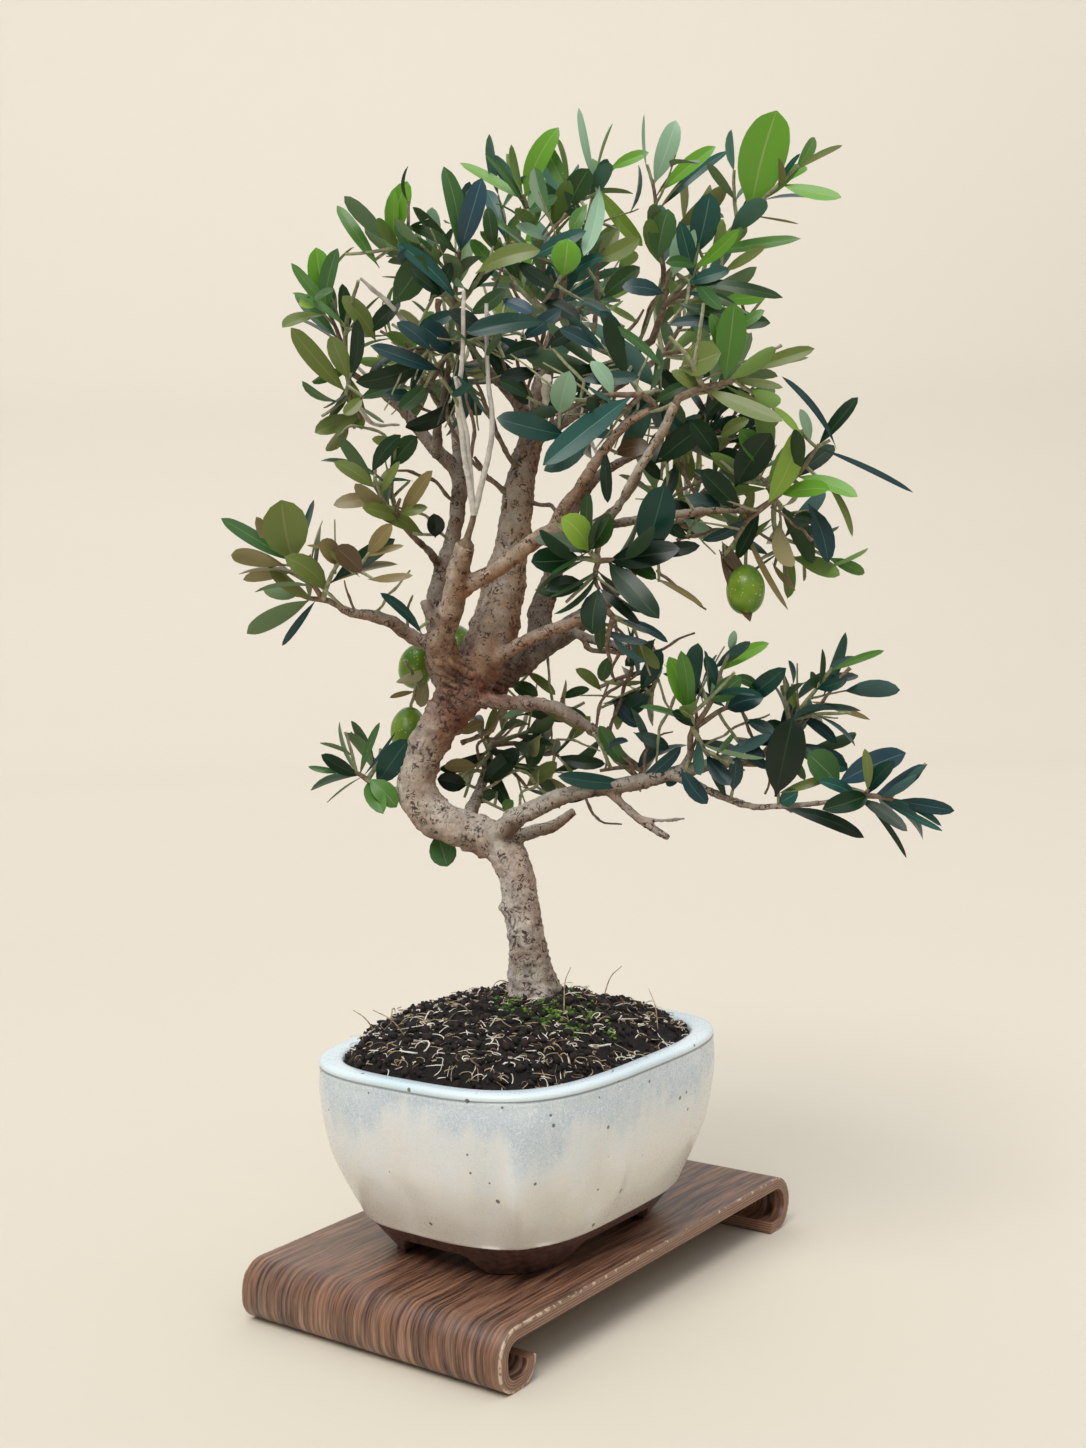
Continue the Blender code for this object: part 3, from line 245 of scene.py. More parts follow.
def curledEnd(bend, curl, lip):
    # The outer face of one half of the board, from its middle round to the lip, as (out, up)
    out, up, flat = standSizes["length"] / 2, standSizes["height"], standSizes["flat"]
    steps = standSizes["flatSteps"]
    points = [(out * i / steps, up) for i in range(steps - 2)]
    points += arcPoints((out - bend, up - bend), bend, 90, 0)
    points += arcPoints((out - curl, curl), curl, 0, -90)
    points += arcPoints((out - curl - flat, curl), curl, -90, -90 - lip)
    return points


def makeStand():
    near = [(-out, up) for out, up in curledEnd(**standSizes["near"])]
    outline = np.array(near[::-1] + curledEnd(**standSizes["far"])[1:])
    spans = np.linalg.norm(np.diff(outline, axis=0), axis=1)
    distance = np.concatenate([[0], np.cumsum(spans)])
    keep = np.concatenate([[True], spans > 0.01])
    outline, distance = outline[keep], distance[keep]
    tangent = np.gradient(outline, axis=0)
    tangent /= np.linalg.norm(tangent, axis=1)[:, None]
    inward = np.column_stack([tangent[:, 1], -tangent[:, 0]])
    half = standSizes["width"] / 2
    shiftX, shiftY = placing["shift"]
    bm = bmesh.new()
    alongLayer = bm.verts.layers.float.new("along")
    deepLayer = bm.verts.layers.float.new("deep")
    row = []
    for (y, z), far in zip(outline, distance):
        vert = bm.verts.new(((shiftX - half) * mm, (shiftY + y) * mm, z * mm))
        vert[alongLayer] = far * mm
        row.append(vert)
    edges = [bm.edges.new(pair) for pair in zip(row, row[1:])]
    # Each ply is the last row of edges drawn on inwards
    for ply in range(standSizes["plies"]):
        row, edges = drawnOn(bm, row, edges)
        for vert, (y, z), (inY, inZ) in zip(row, outline, inward):
            depth = standSizes["thickness"] * (ply + 1) / standSizes["plies"]
            vert.co.y = (shiftY + y + inY * depth) * mm
            vert.co.z = (z + inZ * depth) * mm
            vert[deepLayer] = depth * mm
    side = bm.faces[:]
    grown = bmesh.ops.extrude_face_region(bm, geom=side, use_keep_orig=True)["geom"]
    moved = [item for item in grown if isinstance(item, bmesh.types.BMVert)]
    bmesh.ops.translate(bm, verts=moved, vec=(2 * half * mm, 0, 0))
    faceOutwards(bm)
    arrises = [edge for edge in bm.edges if edge.calc_face_angle(0) > standSizes["edgeAngle"]]
    bmesh.ops.bevel(bm, geom=arrises, offset=standSizes["edgeRound"] * mm, offset_type="OFFSET",
                    affect="EDGES", segments=2, profile=0.5, material=-1, clamp_overlap=True)
    reportMesh("stand", bm)
    newPiece("stand_board", bm, [walnutMaterial()], ["stand"], sharp=40)


# Pot: wheel-thick stoneware pressed to a rounded rectangle, glazed pale over an iron-brown body

potSizes = dict(
    middle=(4.8, -10.8), half=(60.7, 73.5), roundness=3.4, sides=168, footZ=22.5, rimZ=95.2, glazeZ=36.2,
    rimWidth=7.8, wall=6.5, floorZ=38.0, footInset=22.5, archHeight=8.0, archSpans=(42.0, 58.0),
    archSlope=8.0, belly=(-12.9, -7.2, -2.8, -0.7, 0.4, 0.0), glazeLip=0.45, footLip=0.9,
    underside=(0.04, 0.15, 0.28, 0.4, 0.5, 0.58, 0.66, 0.74, 0.8, 0.86, 0.92, 0.97),
    footRings=(0, 0.04, 0.09, 0.18, 0.3, 0.45, 0.6, 0.75, 0.88, 0.96, 1), wallRings=34,
    rim=[(0.42, -3.6), (0.18, -3.15), (-0.12, -2.8), (0.2, -2.3), (0.38, -1.6), (0.2, -0.9), (-0.35, -0.35),
         (-1.3, -0.05), (-2.6, 0.0), (-4.2, 0.0), (-5.7, -0.1), (-6.8, -0.45), (-7.5, -1.2), (-7.9, -2.4),
         (-8.2, -4.5), (-8.6, -9.0)],
    # Thumb marks: degrees round, height, width, level and reach
    marks=[(-55, 3.8, 3.2, 54, 17), (-64, -2.0, 5.0, 52, 18), (-47, -2.0, 4.5, 50, 17),
           (-29, -2.6, 4.5, 58, 12), (-18, 1.5, 5.0, 58, 12), (-92, -1.0, 7.0, 52, 14)],
)
potTones = [(0.0, "#ddd9d0"), (1.0, "#d0dbe1"), (0.35, "#e6e4df"), (0.6, "#dde1e2"), (0.76, "#bdcbd6"),
            (0.9, "#c6d2da")]


def outlinePlace(half, angle, roundness, middle):
    c, s = math.cos(angle), math.sin(angle)
    reach = (abs(c) ** roundness + abs(s) ** roundness) ** (-1 / roundness)
    return middle[0] + half[0] * reach * c, middle[1] + half[1] * reach * s


def potPlace(offset, angle):
    half = [size + offset for size in potSizes["half"]]
    return outlinePlace(half, angle, potSizes["roundness"], potSizes["middle"])


def smoothStep(value):
    value = min(1.0, max(0.0, value))
    return value * value * (3 - 2 * value)


def archRise(x, y):
    # How far the underside is lifted between the feet
    rise = 0
    for place, middle, span in zip((x, y), potSizes["middle"], potSizes["archSpans"]):
        rise = max(rise, smoothStep((span / 2 - abs(place - middle)) / potSizes["archSlope"]))
    return potSizes["archHeight"] * rise


def wallOffset(z):
    # The outside's distance from the rim's outline, smooth from the glaze line to the rim
    belly, low, high = potSizes["belly"], potSizes["glazeZ"], potSizes["rimZ"]
    share = min(1, max(0, (z - low) / (high - low))) * (len(belly) - 1)
    i = min(int(share), len(belly) - 2)
    t = share - i
    a, b, c, d = (belly[min(max(k, 0), len(belly) - 1)] for k in (i - 1, i, i + 1, i + 2))
    if i == 0:
        a = 2 * b - c
    return 0.5 * (2 * b + (c - a) * t + (2 * a - 5 * b + 4 * c - d) * t**2 + (3 * b - a - 3 * c + d) * t**3)


def footOffset(z):
    low, high = potSizes["footZ"], potSizes["glazeZ"] - 0.6
    inset, lip = potSizes["footInset"], potSizes["footLip"]
    return np.interp(z, (low, low + 1.2, high), (-inset - lip, -inset, potSizes["belly"][0] - lip))


def potRings():
    # (x, y, z) in millimetres, from the middle of the underside out, up the wall and down inside
    angles = [2 * math.pi * i / potSizes["sides"] for i in range(potSizes["sides"])]
    rings = []
    for share in potSizes["underside"]:
        ring = []
        for angle in angles:
            x, y = potPlace(-potSizes["footInset"] - potSizes["footLip"], angle)
            x, y = (m + (p - m) * share for p, m in zip((x, y), potSizes["middle"]))
            ring.append((x, y, potSizes["footZ"] + archRise(x, y)))
        rings.append(ring)
    for share in potSizes["footRings"]:
        ring = []
        for angle in angles:
            z = potSizes["footZ"]
            for _ in range(4):
                x, y = potPlace(footOffset(z), angle)
                low = potSizes["footZ"] + archRise(x, y)
                z = low + (potSizes["glazeZ"] - 0.6 - low) * share
            ring.append((x, y, z))
        rings.append(ring)
    low, high = potSizes["glazeZ"], potSizes["rimZ"]
    walls = [(wallOffset(low) + 0.05, low - 0.45), (wallOffset(low) + potSizes["glazeLip"], low + 0.3)]
    heights = np.linspace(low + 1.4, high - 4.6, potSizes["wallRings"])
    walls += [(wallOffset(z) + 0.3 * math.exp(-(z - low) / 3), z) for z in heights]
    walls += [(offset, high + rise) for offset, rise in potSizes["rim"]]
    walls += [(wallOffset(z) - potSizes["wall"] - 1.4, z) for z in (78, 66, 54, 44)]
    walls += [(wallOffset(low) - potSizes["wall"] - 4, potSizes["floorZ"] + 1), (-50, potSizes["floorZ"])]
    rings += [[(*potPlace(offset, angle), z) for angle in angles] for offset, z in walls]
    return rings


def loftRings(rings):
    # Joins rings of equal count, each extruded from the last, and caps both ends
    bm = bmesh.new()
    loop = bmesh.ops.create_circle(bm, cap_ends=True, segments=len(rings[0]), radius=mm)["verts"]
    for vert, place in zip(loop, rings[0]):
        vert.co = place
    edges = list(bm.edges)
    for ring in rings[1:]:
        loop, edges = drawnOn(bm, loop, edges)
        for vert, place in zip(loop, ring):
            vert.co = place
    bmesh.ops.edgeloop_fill(bm, edges=[edge for edge in bm.edges if edge.is_boundary])
    faceOutwards(bm)
    return bm


def glazeMaterial():
    # Reduction-fired stoneware: a thick pale glaze, bluish where it pools under the rim and cream
    # below, with iron specks, over a bare iron-brown foot
    made, shader, add = newMaterial("pale glazed stoneware", IOR=1.5, Coat_Weight=0.35, Coat_Roughness=0.12)
    place = add("TexCoord").outputs["Object"]
    height = add("SeparateXYZ", {0: place}).outputs[2]
    # Runs: the band's lower edge wanders up to 17 mm, drawn out downwards in drips 8 mm apart
    stretched = add("Mapping", {0: place, 3: (1, 1, 0.22)})
    runs = add("TexNoise", {"Vector": stretched, "Scale": 120.0, "Detail": 3.0, "Roughness": 0.55})
    broad = add("TexNoise", {"Vector": place, "Scale": 28.0, "Detail": 2.0})
    runs = add("MapRange", {"Value": runs, 1: 0.3, 2: 0.7, 3: -0.008, 4: 0.008})
    sway = add("MapRange", {"Value": broad, 1: 0.3, 2: 0.7, 3: -0.009, 4: 0.009})
    level = add("Math", {0: height, 1: runs}, operation="ADD")
    level = add("Math", {0: level, 1: sway}, operation="ADD")
    band = add("MapRange", {"Value": level, 1: 0.036, 2: 0.1})
    glaze = add("ValToRGB", {0: band}, potTones)
    # Curdled flecks 2.4 mm across where the glaze is thick
    curd = add("TexNoise", {"Vector": place, "Scale": 420.0, "Detail": 3.0, "Distortion": 3.5})
    flecks = add("ValToRGB", {0: curd}, [(0.46, 0.0), (0.66, 1.0)])
    upper = add("MapRange", {"Value": band, 1: 0.35, 2: 0.75, 3: 0.15, 4: 0.75})
    flecked = add("Math", {0: flecks, 1: upper}, operation="MULTIPLY")
    body = add("Mix", {0: flecked, 6: glaze, 7: paint("#e4eaf0")}, data_type="RGBA")
    # The rim is painted pale cyan white as a painted reflection of cool light from above, over a thin darker
    # line in its groove
    rimReflection = add("ValToRGB", {0: broad}, [(0.35, "#d2e6ef"), (0.65, "#e2f1f8")])
    onRim = add("MapRange", {"Value": height, 1: 0.0922, 2: 0.0928})
    body = add("Mix", {0: onRim, 6: body, 7: rimReflection}, data_type="RGBA")
    # A thin dark grey line of painted shade in the groove under the rim
    away = add("Math", {0: height, 1: 0.09235}, operation="SUBTRACT")
    away = add("Math", {0: away}, operation="ABSOLUTE")
    line = add("MapRange", {"Value": away, 1: 0.0002, 2: 0.0006, 3: 0.75, 4: 0.0})
    body = add("Mix", {0: line, 6: body, 7: paint("#75797a")}, data_type="RGBA")
    # Iron specks up to 1.8 mm across, in two of three cells of 6 mm
    cells = add("TexVoronoi", {"Vector": place, "Scale": 165.0})
    few = add("SeparateXYZ", {0: cells.outputs["Color"]}).outputs[0]
    few = add("MapRange", {"Value": few, 1: 0.3, 2: 1.0, 3: 0.0, 4: 0.15})
    speck = add("Math", {0: cells.outputs["Distance"], 1: few}, operation="LESS_THAN")
    speck = add("Math", {0: speck, 1: 0.85}, operation="MULTIPLY")
    body = add("Mix", {0: speck, 6: body, 7: paint("#4c4540")}, data_type="RGBA")
    # The bare foot, with a dark edge under the glaze's lip
    grit = add("TexNoise", {"Vector": place, "Scale": 420.0, "Detail": 4.0})
    clay = add("ValToRGB", {0: grit}, [(0.3, "#33201c"), (0.72, "#66463d")])
    edge = add("MapRange", {"Value": broad, 1: 0.3, 2: 0.7, 3: 0.03565, 4: 0.0361})
    bare = add("Math", {0: height, 1: edge}, operation="LESS_THAN")
    body = add("Mix", {0: bare, 6: body, 7: clay}, data_type="RGBA")
    shine = add("MapRange", {"Value": curd, 3: 0.2, 4: 0.38})
    rough = add("Mix", {0: bare, 2: shine, 3: 0.62}, data_type="FLOAT")
    bump = add("Bump", {"Height": curd, "Strength": 0.28, "Distance": 0.25 * mm})
    setInputs(shader, {"Base Color": body, "Roughness": rough, "Normal": bump})
    return made


def pressed(angle, z):
    # Thumb marks: a low ridge at the near corner, and a fold
    rise = 0
    for turn, height, width, level, reach in potSizes["marks"]:
        away = ((math.degrees(angle) - turn + 180) % 360 - 180) * 1.25
        rise += height * math.exp(-((away / width) ** 2) - ((z - level) / reach) ** 2)
    return rise


def makePot():
    shiftX, shiftY = placing["shift"]
    rings = []
    for ring in potRings():
        shaped = []
        for x, y, z in ring:
            out = Vector((x - potSizes["middle"][0], y - potSizes["middle"][1], 0))
            soft = noise.noise(Vector((x, y, z * 0.8)) / 26) * 0.45 + noise.noise(Vector((x, y, z)) / 9) * 0.1
            soft += pressed(math.atan2(out.y, out.x), z) * (z > potSizes["glazeZ"])
            soft *= min(1, max(0, (z - potSizes["footZ"] - 1) / 6)) * (out.length > 25)
            soft *= 0.35 if z > potSizes["rimZ"] - 5 else 1
            out.normalize()
            place = Vector((x, y, z)) + out * (soft - 0.15 * (soft != 0))
            shaped.append(Vector((place.x + shiftX, place.y + shiftY, place.z)) * mm)
        rings.append(shaped)
    bm = loftRings(rings)
    reportMesh("pot", bm)
    newPiece("pot_glazed", bm, [glazeMaterial()], ["pot"], sharp=75)


# Soil: a mound of dark bark and peat laced with dry rootlets, and moss at the trunk's foot

soilSizes = dict(
    topZ=113.2, edgeZ=93.0, pad=14.0, mound=((0.82, 0.42, 4.0), (0.48, 0.70, 9.0)), trunkFoot=(3.2, -12.0),
    sides=132, relief=2.1, clods=1500, rootlets=950, moss=900, seed=5, reach=(54, 67), under=84,
    inner=(0.75, 0.5, 0.25, 0.04), clodSize=(0.8, 2.7), rootletRadius=(0.17, 0.25), rootletSteps=8,
    rootletLength=(3.5, 10, 15), mossSize=(0.4, 1.0), mossPlace=(10, -24), mossReach=26, bareReach=7,
    # Stalks that stand up: foot, tip from the foot, and bend
    stalks=[((-44, -42), (-12, -4, 12), 6), ((14, -30), (3, 2, 17), -5), ((50, -15), (-3, 4, 15), 4),
            ((-58, -20), (-8, -2, 9), 4), ((-20, -30), (-9, -6, 7), 5), ((30, 10), (8, 6, 12), -4)],
)


def plainMaterial(name, dark, light, scale, roughness=0.9, bump=0.0, **inputs):
    # A matt natural surface: two tones mixed by a noise of the given scale, 1000 over its grain in mm
    made, shader, add = newMaterial(name, Roughness=roughness, **inputs)
    place = add("TexCoord").outputs["Object"]
    grain = add("TexNoise", {"Vector": place, "Scale": scale, "Detail": 4.0, "Roughness": 0.6})
    tone = add("ValToRGB", {0: grain}, [(0.32, dark), (0.68, light)])
    setInputs(shader, {"Base Color": tone})
    if bump:
        relief = add("Bump", {"Height": grain, "Strength": 0.6, "Distance": bump * mm})
        setInputs(shader, {"Normal": relief})
    return made


def soilRings():
    treeFoot = onStand((*soilSizes["trunkFoot"], 0))[:2] / mm - np.array(placing["shift"])
    edge = [half - potSizes["rimWidth"] - 0.4 for half in potSizes["half"]]
    levels = [(1, 0, 0), *soilSizes["mound"], (0, 1, 0)]
    angles = [2 * math.pi * i / soilSizes["sides"] for i in range(soilSizes["sides"])]
    sunk = [half - 2 for half in edge]
    rings = [[(*outlinePlace(sunk, angle, potSizes["roundness"], potSizes["middle"]), soilSizes["under"])
              for angle in angles]]
    for step in range(41):
        t = step / 40 * (len(levels) - 1)
        i = min(int(t), len(levels) - 2)
        t -= i
        out, rise, lean = (a + (b - a) * t for a, b in zip(levels[i], levels[i + 1]))
        turn = math.radians(placing["turn"])
        slide = (-lean * math.cos(turn), -lean * math.sin(turn))
        middle = [p * out + f * (1 - out) + s for p, f, s in zip(potSizes["middle"], treeFoot, slide)]
        half = [h * out + soilSizes["pad"] * (1 - out) for h in edge]
        z = soilSizes["edgeZ"] + (soilSizes["topZ"] - soilSizes["edgeZ"]) * rise
        roundness = 2 + (potSizes["roundness"] - 2) * out
        rings.append([(*outlinePlace(half, angle, roundness, middle), z) for angle in angles])
    last = rings[-1]
    for share in soilSizes["inner"]:
        rings.append([(treeFoot[0] + (x - treeFoot[0]) * share, treeFoot[1] + (y - treeFoot[1]) * share, z)
                      for x, y, z in last])
    return rings


def makeSoil():
    shiftX, shiftY = placing["shift"]
    relief = soilSizes["relief"]
    rings = []
    for k, ring in enumerate(soilRings()):
        fade = min(1, k / 5)
        shaped = []
        for x, y, z in ring:
            where = Vector((x, y, 0))
            rise = noise.fractal(where / 7, 0.8, 2, 4) * relief * 0.8 + noise.noise(where / 2.2) * relief * 0.45
            rise -= max(0, noise.noise(where / 4 + Vector((9, 9, 0))) - 0.25) * relief * 1.6
            shaped.append(Vector((x + shiftX, y + shiftY, z - 0.6 + rise * fade)) * mm)
        rings.append(shaped)
    bm = loftRings(rings)
    surface = bvhtree.BVHTree.FromBMesh(bm)
    earth = plainMaterial("dark potting mix", "#080605", "#1d1612", 420.0, 0.95, 0.5)
    newPiece("soil_mound", bm, [earth], ["soil"])
    return surface


def soilBelow(surface, x, y):
    return surface.ray_cast(Vector((x, y, 140)) * mm, Vector((0, 0, -1)))[:2]


def onSoil(surface, draw):
    # A random place on the soil, and the way it faces
    while True:
        x, y = (middle + shift + draw.uniform(-reach, reach) for middle, shift, reach
                in zip(potSizes["middle"], placing["shift"], soilSizes["reach"]))
        hit, normal = soilBelow(surface, x, y)
        if hit and hit.z > 90 * mm:
            return np.array(hit) / mm, np.array(normal)


# Many small things, each a short list of places and faces, gathered into one mesh


class Heap:

    def __init__(self):
        self.places, self.faces, self.slots = [], [], []

    def add(self, places, faces, slots):
        base = sum(len(p) for p in self.places)
        self.places.append(np.asarray(places, float))
        self.faces += [tuple(base + i for i in face) for face in faces]
        self.slots += list(slots) if hasattr(slots, "__len__") else [slots] * len(faces)

    def mesh(self, name):
        made = bpy.data.meshes.new(name)
        made.from_pydata(np.concatenate(self.places).tolist(), [], self.faces)
        made.polygons.foreach_set("material_index", self.slots)
        made.update()
        return made


def numberRows(text):
    return [[float(number) for number in row.split()] for row in text.split(",")]


def smoothPath(points, step):
    # A Catmull-Rom curve through the points, every number of a point treated alike
    knots = np.array(points, float)
    knots = np.vstack([2 * knots[0] - knots[1], knots, 2 * knots[-1] - knots[-2]])
    path = []
    for a, b, c, d in zip(knots, knots[1:], knots[2:], knots[3:]):
        steps = max(1, round(np.linalg.norm((c - b)[:3]) / step))
        for t in np.arange(steps) / steps:
            square, cube = 2 * a - 5 * b + 4 * c - d, 3 * b - a - 3 * c + d
            path.append(0.5 * (2 * b + (c - a) * t + square * t**2 + cube * t**3))
    path.append(knots[-2])
    return np.array(path)


def addTube(heap, path, sides, slot):
    # A closed tube along rows of (x, y, z, radius), its sections carried on without a twist
    middles, radii = path[:, :3], path[:, 3]
    tangent = np.gradient(middles, axis=0)
    tangent /= np.linalg.norm(tangent, axis=1)[:, None]
    side = np.cross(tangent[0], (0.3, 0.2, 1) if abs(tangent[0][2]) < 0.9 else (1, 0, 0))
    places = []
    for middle, radius, way in zip(middles, radii, tangent):
        side = side - way * np.dot(side, way)
        side /= np.linalg.norm(side)
        up = np.cross(way, side)
        for i in range(sides):
            angle = 2 * math.pi * i / sides
            places.append(middle + radius * (side * math.cos(angle) + up * math.sin(angle)))
    faces = [tuple(range(sides))[::-1]]
    for k in range(len(path) - 1):
        for i in range(sides):
            a, b = k * sides + i, k * sides + (i + 1) % sides
            faces.append((a, b, b + sides, a + sides))
    faces.append(tuple(range((len(path) - 1) * sides, len(path) * sides)))
    heap.add(places, faces, slot)


def roughBall():
    # The places and faces of a ball, to be squashed into clods and moss
    ball = bmesh.new()
    bmesh.ops.create_icosphere(ball, subdivisions=1, radius=1)
    shape = np.array([vert.co for vert in ball.verts])
    sides = [tuple(vert.index for vert in face.verts) for face in ball.faces]
    ball.free()
    return shape, sides


def makeCrumbs(surface, draw):
    shape, sides = roughBall()
    clods = Heap()
    for _ in range(soilSizes["clods"]):
        place, normal = onSoil(surface, draw)
        size = draw.uniform(*soilSizes["clodSize"])
        angle, axis = draw.uniform(0, 6.28), Vector((draw.random(), draw.random(), 1)).normalized()
        turn = np.array(Matrix.Rotation(angle, 3, axis))
        points = shape * (size, size * draw.uniform(0.5, 0.9), size * draw.uniform(0.3, 0.6))
        points = points * (1 + np.array([draw.uniform(-0.25, 0.25) for _ in points])[:, None])
        points = points @ turn.T + place + normal * size * 0.15
        clods.add(points * mm, sides, draw.choice((0, 0, 1, 2)))
    tones = [plainMaterial(f"bark crumb, {name}", dark, light, 300.0, 0.85) for name, dark, light in
             (("black", "#050404", "#15100e"), ("brown", "#120d0a", "#33271f"), ("red", "#170d09", "#2c1c16"))]
    newPiece("soil_crumbs", clods.mesh("soil_crumbs"), tones)
    print("soil crumbs", len(clods.faces), "faces")


def makeRootlets(surface, draw):
    # Dry rootlets lie curled on the mound, and a few stalks stand up from it
    rootlets = Heap()
    short, usual, longest = soilSizes["rootletLength"]
    steps = soilSizes["rootletSteps"]
    for k in range(soilSizes["rootlets"]):
        place, normal = onSoil(surface, draw)
        length, curl = draw.uniform(short, usual if k % 4 else longest), draw.uniform(-0.8, 0.8)
        heading, lift = draw.uniform(0, 6.28), draw.uniform(0.0, 0.45) if k % 9 else 0.9
        point, path = place - normal * 0.4, []
        for i in range(steps + 1):
            radius = draw.uniform(*soilSizes["rootletRadius"]) * (1.2 - i / 11) * (1.5 if k % 6 == 0 else 1)
            path.append((*point, radius))
            heading += curl + draw.uniform(-0.25, 0.25)
            rise = lift * math.cos(math.pi * i / steps)
            way = np.array([math.cos(heading), math.sin(heading), rise])
            point = point + way / np.linalg.norm(way) * length / steps
            found = soilBelow(surface, point[0], point[1])[0]
            if found:
                point[2] = max(point[2], found.z / mm + 0.1)
        addTube(rootlets, np.array(path) * mm, 4, (0, 1, 0, 2, 1)[k % 5])
    for foot, tip, bend in soilSizes["stalks"]:
        start = onStand((*foot, 0)) / mm
        hit = soilBelow(surface, start[0], start[1])[0]
        if hit:
            base = np.array(hit) / mm
            way = onStand((foot[0] + tip[0], foot[1] + tip[1], 0)) / mm - start
            end = base + (way[0], way[1], tip[2])
            mid = (base + end) / 2 + np.array([bend * 0.5, -bend * 0.4, abs(bend) * 0.4])
            path = smoothPath([(*base, 0.26), (*mid, 0.22), (*end, 0.14)], 1.5)
            addTube(rootlets, path * mm, 4, 0)
    roots = [plainMaterial(f"dry rootlet, {name}", dark, light, 500.0, 0.8) for name, dark, light in
             (("tan", "#8a7459", "#d2bf9f"), ("pale", "#e2d8c8", "#fff9ee"), ("brown", "#553f30", "#8d745d"))]
    newPiece("soil_rootlets", rootlets.mesh("soil_rootlets"), roots)
    print("soil rootlets", len(rootlets.faces), "faces")


def makeMoss(surface, draw):
    # Moss grows in patches in front of the trunk's foot
    shape, sides = roughBall()
    moss = Heap()
    foot, front = (onStand((*soilSizes[key], 0))[:2] / mm for key in ("trunkFoot", "mossPlace"))
    count = 0
    while count < soilSizes["moss"]:
        place, normal = onSoil(surface, draw)
        near = np.linalg.norm(place[:2] - front) + draw.uniform(0, 18)
        patch = noise.noise(Vector((place[0] / 6, place[1] / 6, 3)))
        bare = np.linalg.norm(place[:2] - foot) < soilSizes["bareReach"]
        if near > soilSizes["mossReach"] or patch < -0.12 or bare:
            continue
        count += 1
        size = draw.uniform(*soilSizes["mossSize"])
        uneven = 1 + np.array([draw.uniform(-0.3, 0.3) for _ in shape])[:, None]
        points = shape * (size, size, size * 0.7) * uneven + place + normal * size * 0.3
        moss.add(points * mm, sides, (0, 1, 1)[count % 3])
    greens = [plainMaterial("moss, bright", "#44661f", "#6f9434", 700.0, 0.9),
              plainMaterial("moss, dark", "#22330f", "#46602a", 700.0, 0.9)]
    newPiece("soil_moss", moss.mesh("soil_moss"), greens)
    print("soil moss", len(moss.faces), "faces")


